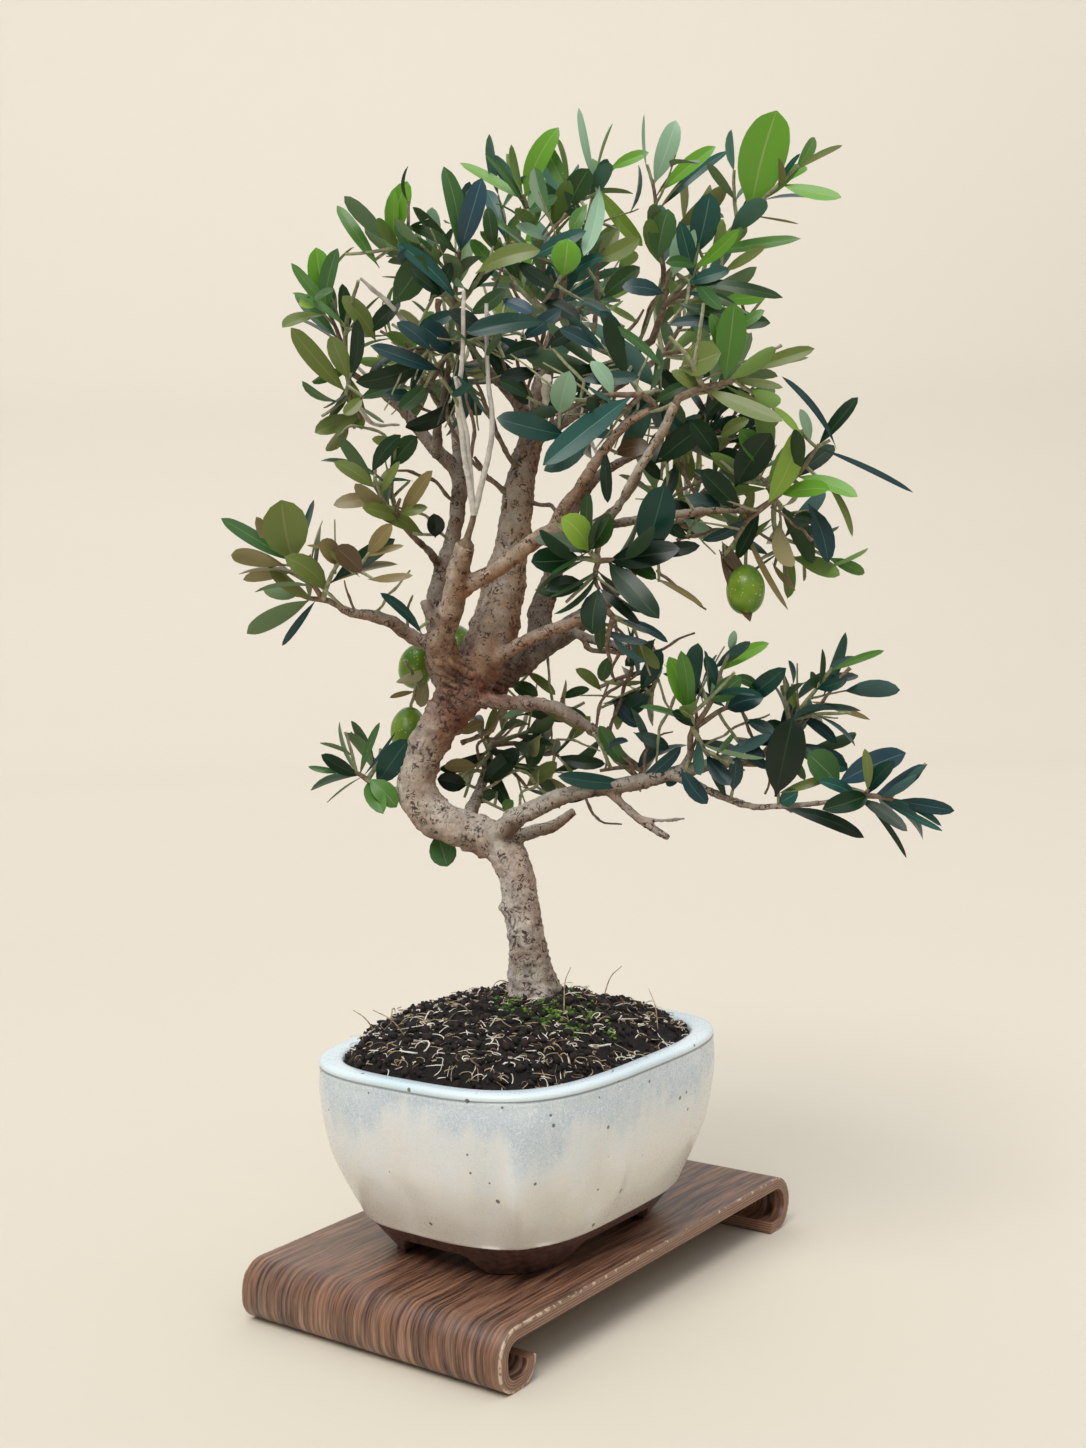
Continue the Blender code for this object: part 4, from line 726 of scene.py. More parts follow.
# Limbs: what each grows from, and the middles and radii that it passes through (x, y, z, radius)
limbs = {
    "trunk": (None, """3.2 -12 104 9.2, 2.6 -12 116 9, 1 -12 130 7.4, -1.5 -11 147 6.8, -3.5 -9 161 7,
        -10 -6 171 7.3, -23 -2 176 7.3, -35 2 181 7.8, -41.5 4 191 7.8, -39.7 4 200 7, -35.5 3 210 7.3,
        -29 2 220 8.2, -21 2 231 10, -11 4 249 9.3, -5.6 8 268 8.2, -1.3 12 288 6.7, 1.5 15 308 5.9,
        5 16 321 5.3, 11 16 343 3.9, 15.4 14 362 2.7"""),
    "bough_left": ("trunk", """-20 1 228 6, -27 -3 240 6.6, -30 -6 248 6.1, -27.5 -10 256.5 5,
        -24 -14 265 4.5, -21.5 -18 276 4.1, -18.5 -22 285 3.9"""),
    "bough_left_stub": ("bough_left", """-28 -9 256 2.6, -32 -12 258 2.3, -35 -12 265 2.1"""),
    "bough_left_back": ("bough_left", """-29 0 243 3, -33 12 258 3.8, -29.7 16 276 3.6, -25.6 20 289 3.4,
        -23 22 302 3.2, -23 24 315 3, -33 26 327 2.7, -43 28 340 2.3, -53 28 349 1.8, -62 26 355 1.3"""),
    "bough_left_low": ("bough_left", """-29 -4 246 2.8, -41 -6 251.5 2.9, -48 -10 257 2.6, -55 -12 259.5 2.2,
        -63 -14 261 1.7, -69 -15 264.5 1.2"""),
    "bough_left_mid": ("bough_left_back", """-29.5 17 277 1.9, -34 10 284 1.6, -39 4 289 1.2"""),
    "bough_cross": ("bough_left", """-22.5 -13 267 2.8, -13.7 -18 272.5 3.1, -6.3 -21 276 3, 6 -26 285 3.1,
        14.6 -30 290 3.1, 19 -33 298 2.4, 24 -36 304 2.2, 32 -40 315.5 2, 41 -43 326 1.7, 50 -44 331 1.3"""),
    "bough_right_front": ("bough_cross", """14 -30 289 2, 24 -37 290 2, 33 -43 290 1.9, 53 -38 293 1.7,
        74 -30 295 1.5, 88 -25 295 1.2"""),
    "bough_front": ("bough_right_front", """33 -43.5 290 1.3, 38 -49 297 1.6, 45 -53 309 1.7, 53 -55 321 1.8,
        58 -56 331 1.9"""),
    "spur_centre": ("bough_right_front", """32.5 -43.5 290 1.2, 31 -48 285.5 1.2, 30 -50 281.5 1.1"""),
    "bough_right_back": ("trunk", """-17 3 228 6.4, -9.7 11 233 6.3, -1.8 19 239 6.1, 9 28 246 5.5,
        21 38 253 4.8, 36 50 264 3.6, 50 61 279 2.5, 57 67 289 1.7"""),
    "bough_right_up": ("bough_right_back", """8 28.5 247 4.6, 9 32 260 4.9, 13 35 270 4.2, 16 37 281 3.8,
        21 38 297 3, 30 34 311 2.4, 43 24 319 1.8, 53 18 322 1.3"""),
    "bough_inner": ("trunk", """-12 0 240 2.6, -1 -9 246.5 2.7, 8.5 -14 251 2.5, 23 -19 256 2.2,
        31 -22 259 1.6"""),
    "bough_low_cross": ("trunk", """-19 -1 227 2.8, -8 -7 225.5 3, 12 -9 223.4 2.6, 23 -8 217 2.3,
        30.5 -8 211 1.9, 37 -8 202 1.5, 43 -8 197 1.2"""),
    "bough_low_right": ("trunk", """-11 -7 173 4, -2.8 -15 181 3.8, 10 -18 187.5 3.4, 20 -20 191 3.2,
        33 -22 193 3, 45 -24 195 2.9, 62 -26 199 2.6, 76 -28 202 2.1, 85 -28 201.5 1.6"""),
    "bough_low_tip": ("bough_low_right", """56 -25.5 197.5 1.6, 66 -31 193.5 1.6, 76 -34 189 1.5,
        85 -36 186 1.4, 93 -38 186 1.3, 105 -42 187 1.1, 119 -46 189 0.9"""),
    "spur_low_right": ("bough_low_right", """60 -26 199 1.5, 63 -31 205 1.5, 63 -33 210 1.2"""),
    "twig_bare": ("bough_low_right", """32 -22 192.5 1.6, 44 -24 181 1.7, 55 -26 173.5 1.3"""),
    "twig_bare_fork": ("twig_bare", """43 -24 182 0.8, 52 -26 180.5 0.8, 61 -27 181 0.7"""),
    "bough_low_stub": ("trunk", """-6 -6 172 2.6, 5 -5 175 2.6, 12.5 -4 177 2.3, 20 -2 182 1.7"""),
    "bough_right_inner": ("bough_right_back", """20 36 252 2, 27 24 249 1.9, 37 15 246 1.9, 52 8 242 1.7"""),
    "bough_top_right": ("trunk", """10 16 341 2.6, 28 10 350 2.4, 43 4 356 2, 52 0 361 1.5"""),
    "bough_top_left": ("trunk", """8 16 333 2.6, -3 8 347 2.3, -12 2 356 1.9, -16 -2 363 1.4"""),
    "bough_inner_left": ("bough_left_back", """-31 25 322 2, -30 18 334 1.8, -27 12 344 1.6, -25 8 352 1.2"""),
    "bough_back_top": ("trunk", """5 17 321 3, 8 32 343 2.6, 13 50 366 1.6"""),
    "bough_back_left": ("bough_left_back", """-22.5 24 309 2.2, -24 42 331 2, -28 59 350 1.4"""),
    "bough_back_right": ("trunk", """5.5 16 325 2.8, 31 32 343 2.3, 51 44 356 1.5"""),
    "spur_low_left": ("trunk", """-41 4 189 1.8, -50 8 190.5 1.6, -55 10 192 1.2"""),
    "spur_fork": ("trunk", """-27 4 228 2, -33 18 232 1.7, -36 23 237 1.2"""),
    "bough_low_back": ("trunk", """-23 0 177 3, -18 20 187 2.4, -14 31 199 1.6"""),
}

# Masses of foliage: the limb that each grows from, the heart where its shoots part, the middle and
# half-sizes of its space, and the tips of its main shoots. leaves draw the outline and more fill the
# front, as root, tip, width and tone. fruit are olives, as stalk and middle, bends are places that main
# shoots pass through, bare counts the main shoots without leaves, and tones are what the rest are dealt.
masses = {
    "foliage_top": dict(
        limb="trunk", heart=(16, 12, 374), middle=(18, 6, 406), half=(44, 38, 52),
        shoots=[(6, -2, 418), (34, 2, 425), (21, -22, 388), (-4, 26, 408), (36, 32, 403)],
        leaves="""5 -4 419 20 -8 441 9 fresh, 3 2 416 -18 8 433 5.5 fresh, 32 2 427 28 2 451 3 mint,
        37 4 425 52 14 401 6 lime, 35 -4 420 28 -24 390 7 mint""",
        more="""6 0 411 -8 -4 433 3.8 mid, 7 -6 410 19 -10 415 5.3 mid, 39 0 427 54 -4 432 5.3 fresh,
        23 -6 411 31 -10 425 9.8 deep, 30 -14 411 24 -18 399 5.6 leaf, 20 -26 382 22 -30 395 11 fresh,
        58 -16 377 42 -20 379 7.5 slate, 8 -20 390 29 -24 399 5.9 teal, 32 -14 390 49 -18 397 7.5 olive,
        19 -24 378 4 -28 387 6.6 dark, 34 -12 376 49 -16 387 7.5 deep, 14 -4 400 3 -8 405 5.3 mint,
        26 -20 375 38 -24 367 5.2 pine, 11 -20 375 26 -24 366 6.7 shade, 43 0 406 35 -4 392 5.7 olive""",
        tones="fresh leaf mid teal",
    ),
    "foliage_top_right": dict(
        limb="bough_top_right", heart=(59, -4, 375), middle=(85, -14, 400), half=(52, 40, 51),
        shoots=[(55, -8, 421), (107, -30, 419), (80, -20, 384), (79, 5, 378)],
        leaves="""88 -24 404 99 -30 439 17.5 fresh, 54 -8 420 64 -10 442 8 mint, 56 -8 409 85 4 434 4 teal,
        70 -16 391 75 -22 412 11 teal, 102 -28 411 121 -36 406 6 fresh, 106 -30 418 122 -34 425 2.5 olive,
        75 -18 390 107 -30 393 5.5 leaf""",
        more="""53 -8 424 52 -12 444 1.5 mint, 56 -12 390 60 -16 408 10.1 mid, 61 -16 383 68 -20 401 9.3 mint,
        99 -28 412 107 -32 423 2.2 teal, 66 -18 380 82 -22 384 6 teal, 69 -20 381 101 -24 373 4.8 deep,
        62 -20 373 91 -24 365 5.6 deep, 57 -18 365 76 -22 365 4.8 slate, 93 -26 410 107 -30 419 2.9 leaf,
        78 -24 391 86 -28 398 3.7 leaf""",
        tones="fresh leaf mid olive teal",
    ),
    "foliage_top_left": dict(
        limb="bough_top_left", heart=(-21, -6, 375), middle=(-28, -8, 400), half=(44, 34, 38),
        shoots=[(-18, -14, 395), (-45, -10, 400), (-30, 16, 402), (-7, -22, 389)],
        leaves="""-17 -14 393 -23 -18 425 8.5 mid, -16 -16 396 -9 -20 420 8.5 blue,
        -46 -10 403 -37 -14 421 9 fresh, -49 -6 391 -65 0 416 5 leaf, -44 -14 376 -31 -24 391 12 deep""",
        more="""-45 -12 398 -42 -16 418 3.8 fresh, -18 -12 401 -14 -16 417 3.8 mint,
        -29 6 398 -29 2 415 6.6 mint, -19 -20 375 -41 -24 396 6.7 teal, -18 -16 391 -37 -20 403 4.5 deep,
        -5 -18 394 -7 -22 409 5.6 deep, -12 -26 384 12 -30 391 7.4 olive, -30 -18 376 -21 -22 389 6 dark,
        -36 -16 366 -20 -20 371 6 pine, -15 -22 370 -1 -26 378 6.7 deep, -3 -10 388 -14 -14 399 6 leaf,
        -25 -22 379 -36 -26 386 5.6 dark, 4 -12 384 -3 -16 396 6 deep""",
        tones="leaf mid deep dark slate",
    ),
    "foliage_left_high": dict(
        limb="bough_left_back", heart=(-66, 20, 360), middle=(-70, 12, 365), half=(30, 32, 42),
        shoots=[(-72, 16, 380), (-64, 2, 345), (-60, 12, 336), (-57, -8, 386)],
        leaves="""-71 16 383 -75 12 403 9.5 fresh, -67 12 375 -84 6 396 5.5 leaf,
        -64 0 346 -83 -8 369 9.5 olive, -59 12 336 -77 6 331 8 olive, -62 0 350 -58 -6 372 7 dark""",
        more="""-75 12 381 -82 8 381 5.5 lime, -52 4 365 -64 0 382 7.7 olive, -63 4 352 -69 0 367 7.7 olive,
        -54 6 370 -42 2 380 7 dark, -58 -6 342 -42 -10 345 6.1 deep, -54 -4 344 -64 -8 336 5.3 olive""",
        tones="leaf olive deep mid",
    ),
    "foliage_inner_left": dict(
        limb="bough_inner_left", heart=(-24, 2, 360), middle=(-24, -4, 355), half=(40, 38, 28),
        shoots=[(-42, -10, 359), (-12, -8, 342), (-36, 22, 346), (-5, -30, 361)],
        leaves="""-26 -20 350 -51 -31 358 7 slate, -18 -18 355 -32 -29 365 11 slate""",
        more="""14 -36 364 -15 -40 360 8.7 pine, -29 -28 356 -41 -32 366 6.6 slate,
        -11 -26 358 -22 -30 370 7.4 shade, -4 -30 352 11 -34 356 6.6 dark, 4 -24 360 19 -28 370 6.7 slate,
        -31 -14 346 -42 -18 336 6.8 deep, -16 -30 363 -3 -34 366 5.1 slate, -35 -10 341 -48 -14 342 5.3 pine,
        11 -28 348 -4 -32 345 5.9 shade, -3 -24 375 9 -28 369 5.9 blue""",
        tones="slate pine shade dark",
    ),
    "foliage_front_left": dict(
        limb="bough_left", heart=(-15, -26, 296), middle=(-14, -40, 338), half=(15, 18, 48),
        shoots=[(-20, -38, 345), (-16, -42, 375), (-8, -38, 371)],
        bends=[[(-16, -28, 306), (-17, -31, 322)],
               [(-16, -29, 306), (-19, -34, 335), (-17, -37, 352)],
               [(-12, -28, 308), (-8, -31, 327), (-9, -34, 350)]],
        bare=2, tones="deep pine",
    ),
    "foliage_front": dict(
        limb="bough_cross", heart=(47, -47, 336), middle=(30, -46, 333), half=(42, 36, 34),
        shoots=[(34, -44, 326), (33, -34, 356), (16, -48, 329), (56, -36, 338)],
        leaves="""44 -51 335 11 -66 310 11 teal, 20 -48 322 -5 -54 328 10 pine, 16 -52 330 21 -60 343 9 mint""",
        more="""56 -40 345 37 -44 361 4.7 mid, 24 -44 342 46 -48 342 6.1 pine, 35 -40 317 34 -44 298 5.4 dark,
        37 -36 316 50 -40 318 8 brown, 13 -40 354 26 -44 360 6.5 shade, 32 -42 353 18 -46 360 5.8 slate,
        42 -36 355 33 -40 367 5.8 pine, 7 -42 336 -4 -46 342 5 dark, 36 -44 338 29 -48 348 5.7 mint,
        52 -44 331 64 -48 339 4.3 deep""",
        tones="pine pine dark shade",
    ),
    "foliage_front_right": dict(
        limb="bough_front", heart=(68, -55, 337), middle=(86, -50, 344), half=(34, 30, 28),
        shoots=[(90, -50, 345), (56, -60, 354), (73, -46, 332)],
        leaves="""75 -54 342 79 -60 365 10.5 leaf, 83 -52 347 107 -58 349 5 olive,
        69 -56 336 94 -68 323 6 olive, 60 -52 344 74 -60 348 13 olive, 90 -50 343 107 -44 348 2 olive""",
        more="""74 -54 349 71 -58 362 5.3 leaf, 78 -52 341 96 -56 336 3.5 olive,
        70 -46 328 81 -50 337 7.2 dark, 67 -50 333 57 -54 343 5.7 olive, 78 -52 357 90 -56 363 4.2 leaf""",
        tones="olive leaf mid",
    ),
    "foliage_right": dict(
        limb="bough_right_front", heart=(96, -28, 299), middle=(105, -27, 297), half=(47, 36, 50),
        shoots=[(112, -34, 318), (106, -18, 291), (87, -10, 313), (100, -14, 277), (80, -37, 283)],
        leaves="""92 -32 300 104 -40 323 8 lime, 96 -33 300 114 -44 301 7.5 fresh,
        104 -32 307 124 -44 298 6 fresh, 109 -26 297 115 -32 275 8 slate, 113 -34 316 147 -30 300 2.6 slate,
        82 -26 304 94 -38 322 12 dark, 76 -23 281 86 -32 254 6.5 brown, 85 -24 290 100 -32 258 3 khaki""",
        fruit=[((86, -24, 281), (85, -28, 266))],
        more="""118 -36 316 98 -40 342 3.3 slate, 93 -42 332 103 -46 321 3.6 lime,
        110 -38 317 104 -42 330 4.4 mint, 113 -34 306 123 -38 284 2.9 olive, 102 -30 292 109 -34 290 6.6 dark,
        62 -26 301 76 -30 295 8.1 pine, 82 -20 284 89 -24 303 5.2 olive, 77 -24 284 84 -28 272 5.2 brown,
        96 -20 276 104 -24 265 3 khaki, 51 -26 271 69 -30 260 3 khaki, 84 -26 299 69 -30 310 9.6 dark,
        93 -30 310 83 -34 324 8.8 leaf, 69 -22 292 56 -26 298 6 shade, 92 -20 288 102 -24 277 4.5 slate,
        65 -24 285 54 -28 292 5.2 dark, 77 -20 314 66 -24 329 9 dark""",
        tones="leaf dark slate deep khaki",
    ),
    "foliage_centre": dict(
        limb="spur_centre", heart=(30, -52, 277), middle=(33, -57, 276), half=(34, 27, 36),
        shoots=[(30, -52, 267), (22, -59, 284), (47, -56, 279), (16, -50, 277)],
        leaves="""27 -56 280 17 -64 292 11 lime, 33 -54 276 50 -68 256 9 dark, 32 -56 279 58 -64 280 10 shade,
        30 -52 267 27 -58 251 9.5 dark, 22 -52 277 6 -57 277 10 dark, 47 -56 281 53 -66 302 13 pine""",
        more="""29 -58 281 34 -62 293 7.8 deep, 30 -52 263 44 -56 254 4.3 shade,
        23 -50 270 11 -54 267 6.4 dark, 38 -54 277 50 -58 270 5.7 deep""",
        tones="shade shade dark deep",
    ),
    "foliage_left_spray": dict(
        limb="bough_left_low", heart=(-73, -16, 266), middle=(-77, -19, 275), half=(44, 26, 34),
        shoots=[(-84, -20, 281), (-63, -24, 283), (-84, -8, 268)],
        leaves="""-85 -20 281 -109 -24 297 7.5 mid, -84 -20 282 -86 -27 303 17 olive,
        -82 -18 282 -76 -11 304 3.5 pine, -71 -20 268 -85 -30 282 9 olive, -76 -15 266 -90 -10 249 3 slate,
        -63 -26 278 -72 -34 286 9 khaki, -68 -20 272 -45 -20 288 6.5 dark""",
        more="""-67 -24 285 -77 -28 286 1.9 khaki, -58 -26 274 -70 -30 284 3.7 olive,
        -55 -26 282 -45 -30 293 6.3 khaki, -55 -26 281 -41 -30 285 3.3 khaki,
        -55 -26 273 -38 -30 274 4.5 khaki, -36 -16 252 -51 -20 268 5.3 pine, -69 -20 269 -80 -24 277 4.5 olive,
        -56 -28 277 -66 -32 285 8.9 brown""",
        tones="olive khaki mid",
    ),
    "foliage_left_mid": dict(
        limb="bough_left_mid", heart=(-44, -2, 295), middle=(-52, -2, 308), half=(26, 28, 26),
        shoots=[(-54, -6, 310), (-48, 14, 317), (-43, -16, 303)],
        leaves="""-51 -6 309 -68 -10 318 6.5 olive, -52 -4 303 -69 -8 302 6.5 khaki,
        -41 -5 297 -57 -18 300 6.5 olive, -54 -8 314 -42 -16 327 6.5 dark""",
        more="""-48 4 317 -37 0 328 8.5 deep, -39 0 311 -51 -4 311 1.9 teal, -45 -8 301 -33 -12 300 4.6 olive,
        -31 -2 289 -31 -6 298 6.9 shade, -37 -4 291 -56 -8 302 6.5 olive, -44 0 324 -54 -4 327 4.6 olive""",
        tones="olive deep khaki",
    ),
    "foliage_low_left": dict(
        limb="spur_low_left", heart=(-61, 10, 195), middle=(-64, 10, 199), half=(28, 26, 24),
        shoots=[(-70, 8, 199), (-57, 24, 206)],
        leaves="""-63 8 198 -55 4 218 4 mid, -64 8 197 -78 2 206 5.5 dark, -70 8 200 -84 8 201 3 mid,
        -61 8 194 -54 -4 183 8 leaf""",
        more="""-54 8 195 -44 4 211 10.6 pine, -61 8 199 -49 4 214 1.6 slate, -60 4 196 -49 0 185 8.6 leaf,
        -34 6 174 -30 2 161 10.6 mid""",
        tones="mid deep",
    ),
    "fruit_fork": dict(
        limb="spur_fork", heart=(-38, 26, 243), middle=(-37, 24, 230), half=(22, 26, 28),
        shoots=[(-30, 28, 252), (-43, 24, 226)],
        leaves="""-42 24 229 -52 18 227 3 khaki""",
        fruit=[((-40, 28, 246), (-42, 31, 239)), ((-28, 28, 254), (-25, 24, 247)),
                ((-44, 24, 224), (-45, 19, 214))],
        tones="khaki olive",
    ),
    "foliage_low_back": dict(
        limb="bough_low_back", heart=(-13, 36, 206), middle=(-1, 36, 204), half=(40, 32, 34),
        shoots=[(-22, 42, 220), (4, 34, 226), (15, 30, 201), (-18, 20, 198), (2, 28, 188), (26, 42, 222)],
        more="""-20 20 198 -31 16 199 5.6 khaki, -22 22 191 -34 18 194 8 shade, -17 26 189 -1 22 205 8.9 dark,
        9 30 211 3 26 197 7.3 deep, -25 30 211 -15 26 216 4.9 khaki, -8 28 217 4 24 222 4 mint,
        -4 30 231 7 26 226 6.5 deep, 2 34 236 14 30 226 4.9 olive, -8 20 180 -4 16 185 4.8 leaf,
        -9 24 188 -21 20 185 5.6 deep, 3 28 188 14 24 199 6.5 olive, 8 34 224 18 30 215 4.1 khaki,
        18 34 207 28 30 217 4.9 olive, 10 30 193 21 26 183 4.1 khaki, 16 36 224 28 32 228 4.1 deep""",
        tones="olive khaki dark deep",
    ),
    "foliage_low_centre": dict(
        limb="bough_inner", heart=(36, -22, 257), middle=(41, -18, 248), half=(24, 24, 20),
        shoots=[(35, -18, 240), (52, -16, 250)],
        leaves="""38 -20 256 56 -26 247 4 slate""",
        more="""30 -20 253 49 -24 247 3.8 slate, 41 -16 248 53 -20 237 5.3 olive,
        35 -14 244 31 -18 233 5.3 deep""",
        tones="slate khaki dark",
    ),
    "foliage_right_inner": dict(
        limb="bough_right_inner", heart=(55, 6, 236), middle=(46, 8, 225), half=(26, 26, 22),
        shoots=[(41, 14, 221), (51, 0, 216), (31, 20, 229)],
        leaves="""38 10 218 50 -3 226 8 pine""",
        more="""53 0 248 41 -4 238 6.2 dark, 47 2 228 55 -2 244 7 pine, 32 10 228 22 6 237 4.7 olive,
        36 4 225 46 0 214 5.5 slate""",
        tones="pine dark olive",
    ),
    "foliage_low_right_in": dict(
        limb="bough_low_cross", heart=(47, -10, 198), middle=(40, -12, 205), half=(28, 26, 20),
        shoots=[(34, 4, 214), (53, -10, 211), (30, -18, 199)],
        leaves="""42 -12 203 30 -18 216 6 mid, 45 -12 201 54 -14 210 5 slate""",
        more="""40 -22 196 14 -26 198 6.8 pine, 43 -24 197 60 -28 208 5.3 slate,
        43 -16 213 56 -20 207 5.7 pine, 55 -22 201 58 -26 194 6 pine, 28 -14 191 15 -18 188 4.6 shade""",
        tones="slate deep pine",
    ),
    "foliage_low_right": dict(
        limb="spur_low_right", heart=(64, -35, 215), middle=(74, -34, 222), half=(34, 26, 33),
        shoots=[(75, -34, 237), (62, -38, 222), (88, -30, 226), (70, -38, 203)],
        leaves="""75 -34 237 92 -38 246 5 fresh, 62 -38 222 55 -43 242 8 fresh, 69 -36 226 81 -44 234 8 mid,
        84 -34 226 97 -46 237 7.5 pine, 78 -34 221 89 -43 226 9 slate, 69 -37 206 76 -46 195 6.5 slate""",
        more="""78 -38 243 79 -42 251 3.3 mint, 73 -40 231 68 -44 242 4.7 teal, 77 -34 193 69 -38 203 3.3 dark,
        78 -38 192 79 -42 205 5.9 slate, 79 -34 211 90 -38 204 4.4 slate, 84 -32 210 97 -36 211 4.4 pine,
        54 -30 239 76 -34 223 3.3 slate, 59 -38 201 68 -42 188 6.6 slate, 66 -36 215 56 -40 222 5.1 dark,
        83 -34 218 94 -38 212 5.2 pine, 89 -36 229 79 -40 234 4.4 deep""",
        tones="mid slate pine leaf",
    ),
    "foliage_low_right_back": dict(
        limb="bough_low_right", heart=(93, -27, 207), middle=(112, -24, 220), half=(36, 28, 32),
        shoots=[(106, -24, 220), (117, -26, 236), (107, -10, 206)],
        leaves="""102 -28 213 99 -42 221 10 shade, 106 -26 221 97 -30 230 5 olive,
        113 -24 227 122 -30 232 5 pine, 117 -26 235 136 -28 242 3 leaf, 109 -24 222 132 -20 216 2.6 khaki,
        104 -18 207 122 -22 201 7.5 slate""",
        more="""93 -42 190 99 -46 219 13.9 shade, 107 -24 216 118 -28 208 5.2 slate,
        106 -24 207 122 -28 198 7.5 pine, 111 -28 228 108 -32 235 3.7 deep, 93 -40 187 101 -44 192 5.9 teal,
        97 -40 192 113 -44 197 3.7 olive, 100 -30 210 91 -34 217 5.2 dark, 93 -30 199 83 -34 206 4.5 slate""",
        tones="slate dark pine",
    ),
    "foliage_low_right_tip": dict(
        limb="bough_low_tip", heart=(126, -46, 190), middle=(124, -46, 188), half=(34, 26, 28),
        shoots=[(136, -46, 188), (115, -40, 194), (124, -56, 193)],
        leaves="""115 -42 194 138 -55 206 9.5 blue, 128 -46 191 146 -48 201 5 blue,
        124 -54 192 123 -57 208 4 olive, 122 -48 190 138 -56 178 6.5 dark, 131 -46 189 153 -44 178 3.6 teal,
        121 -50 190 106 -58 197 6 teal, 124 -48 188 141 -40 166 2.6 dark, 116 -42 193 104 -48 206 12 mid""",
        more="""95 -44 186 124 -48 175 5.1 shade, 129 -46 188 152 -50 177 3.6 teal""",
        tones="slate dark pine",
    ),
    "foliage_inner_right": dict(
        limb="bough_right_up", heart=(60, 14, 322), middle=(73, 8, 324), half=(36, 32, 30),
        shoots=[(80, 4, 328), (57, 0, 336), (71, -6, 308), (93, 18, 326)],
        leaves="""56 -2 318 72 -16 329 10 dark""",
        more="""53 -14 314 72 -18 328 9.8 dark, 64 -6 339 54 -10 350 6.9 shade, 67 -10 323 57 -14 332 6.1 pine,
        72 0 347 83 -4 357 6.9 dark, 52 -6 328 41 -10 335 6.1 brown, 78 -10 323 89 -14 330 5.3 olive,
        57 -8 308 48 -12 316 5.3 dark""",
        tones="dark shade olive pine",
    ),
    "foliage_back_low": dict(
        limb="bough_right_back", heart=(62, 73, 298), middle=(70, 72, 308), half=(38, 34, 32),
        shoots=[(88, 80, 319), (58, 90, 321), (77, 60, 293), (90, 58, 306)],
        tones="mid deep olive",
    ),
    "foliage_back_top": dict(
        limb="bough_back_top", heart=(17, 63, 381), middle=(18, 70, 395), half=(42, 40, 40),
        shoots=[(0, 66, 416), (42, 72, 420), (21, 100, 398), (-10, 80, 385), (46, 84, 393)],
        tones="fresh leaf mid teal",
    ),
    "foliage_back_left": dict(
        limb="bough_back_left", heart=(-31, 70, 362), middle=(-35, 72, 372), half=(38, 38, 36),
        shoots=[(-56, 70, 380), (-30, 70, 397), (-46, 94, 358), (-20, 100, 377)],
        tones="leaf mid deep olive",
    ),
    "foliage_back_right": dict(
        limb="bough_back_right", heart=(62, 53, 365), middle=(74, 54, 375), half=(36, 36, 36),
        shoots=[(86, 56, 391), (63, 68, 399), (92, 48, 365), (76, 82, 367)],
        tones="leaf mid olive deep",
    ),
}


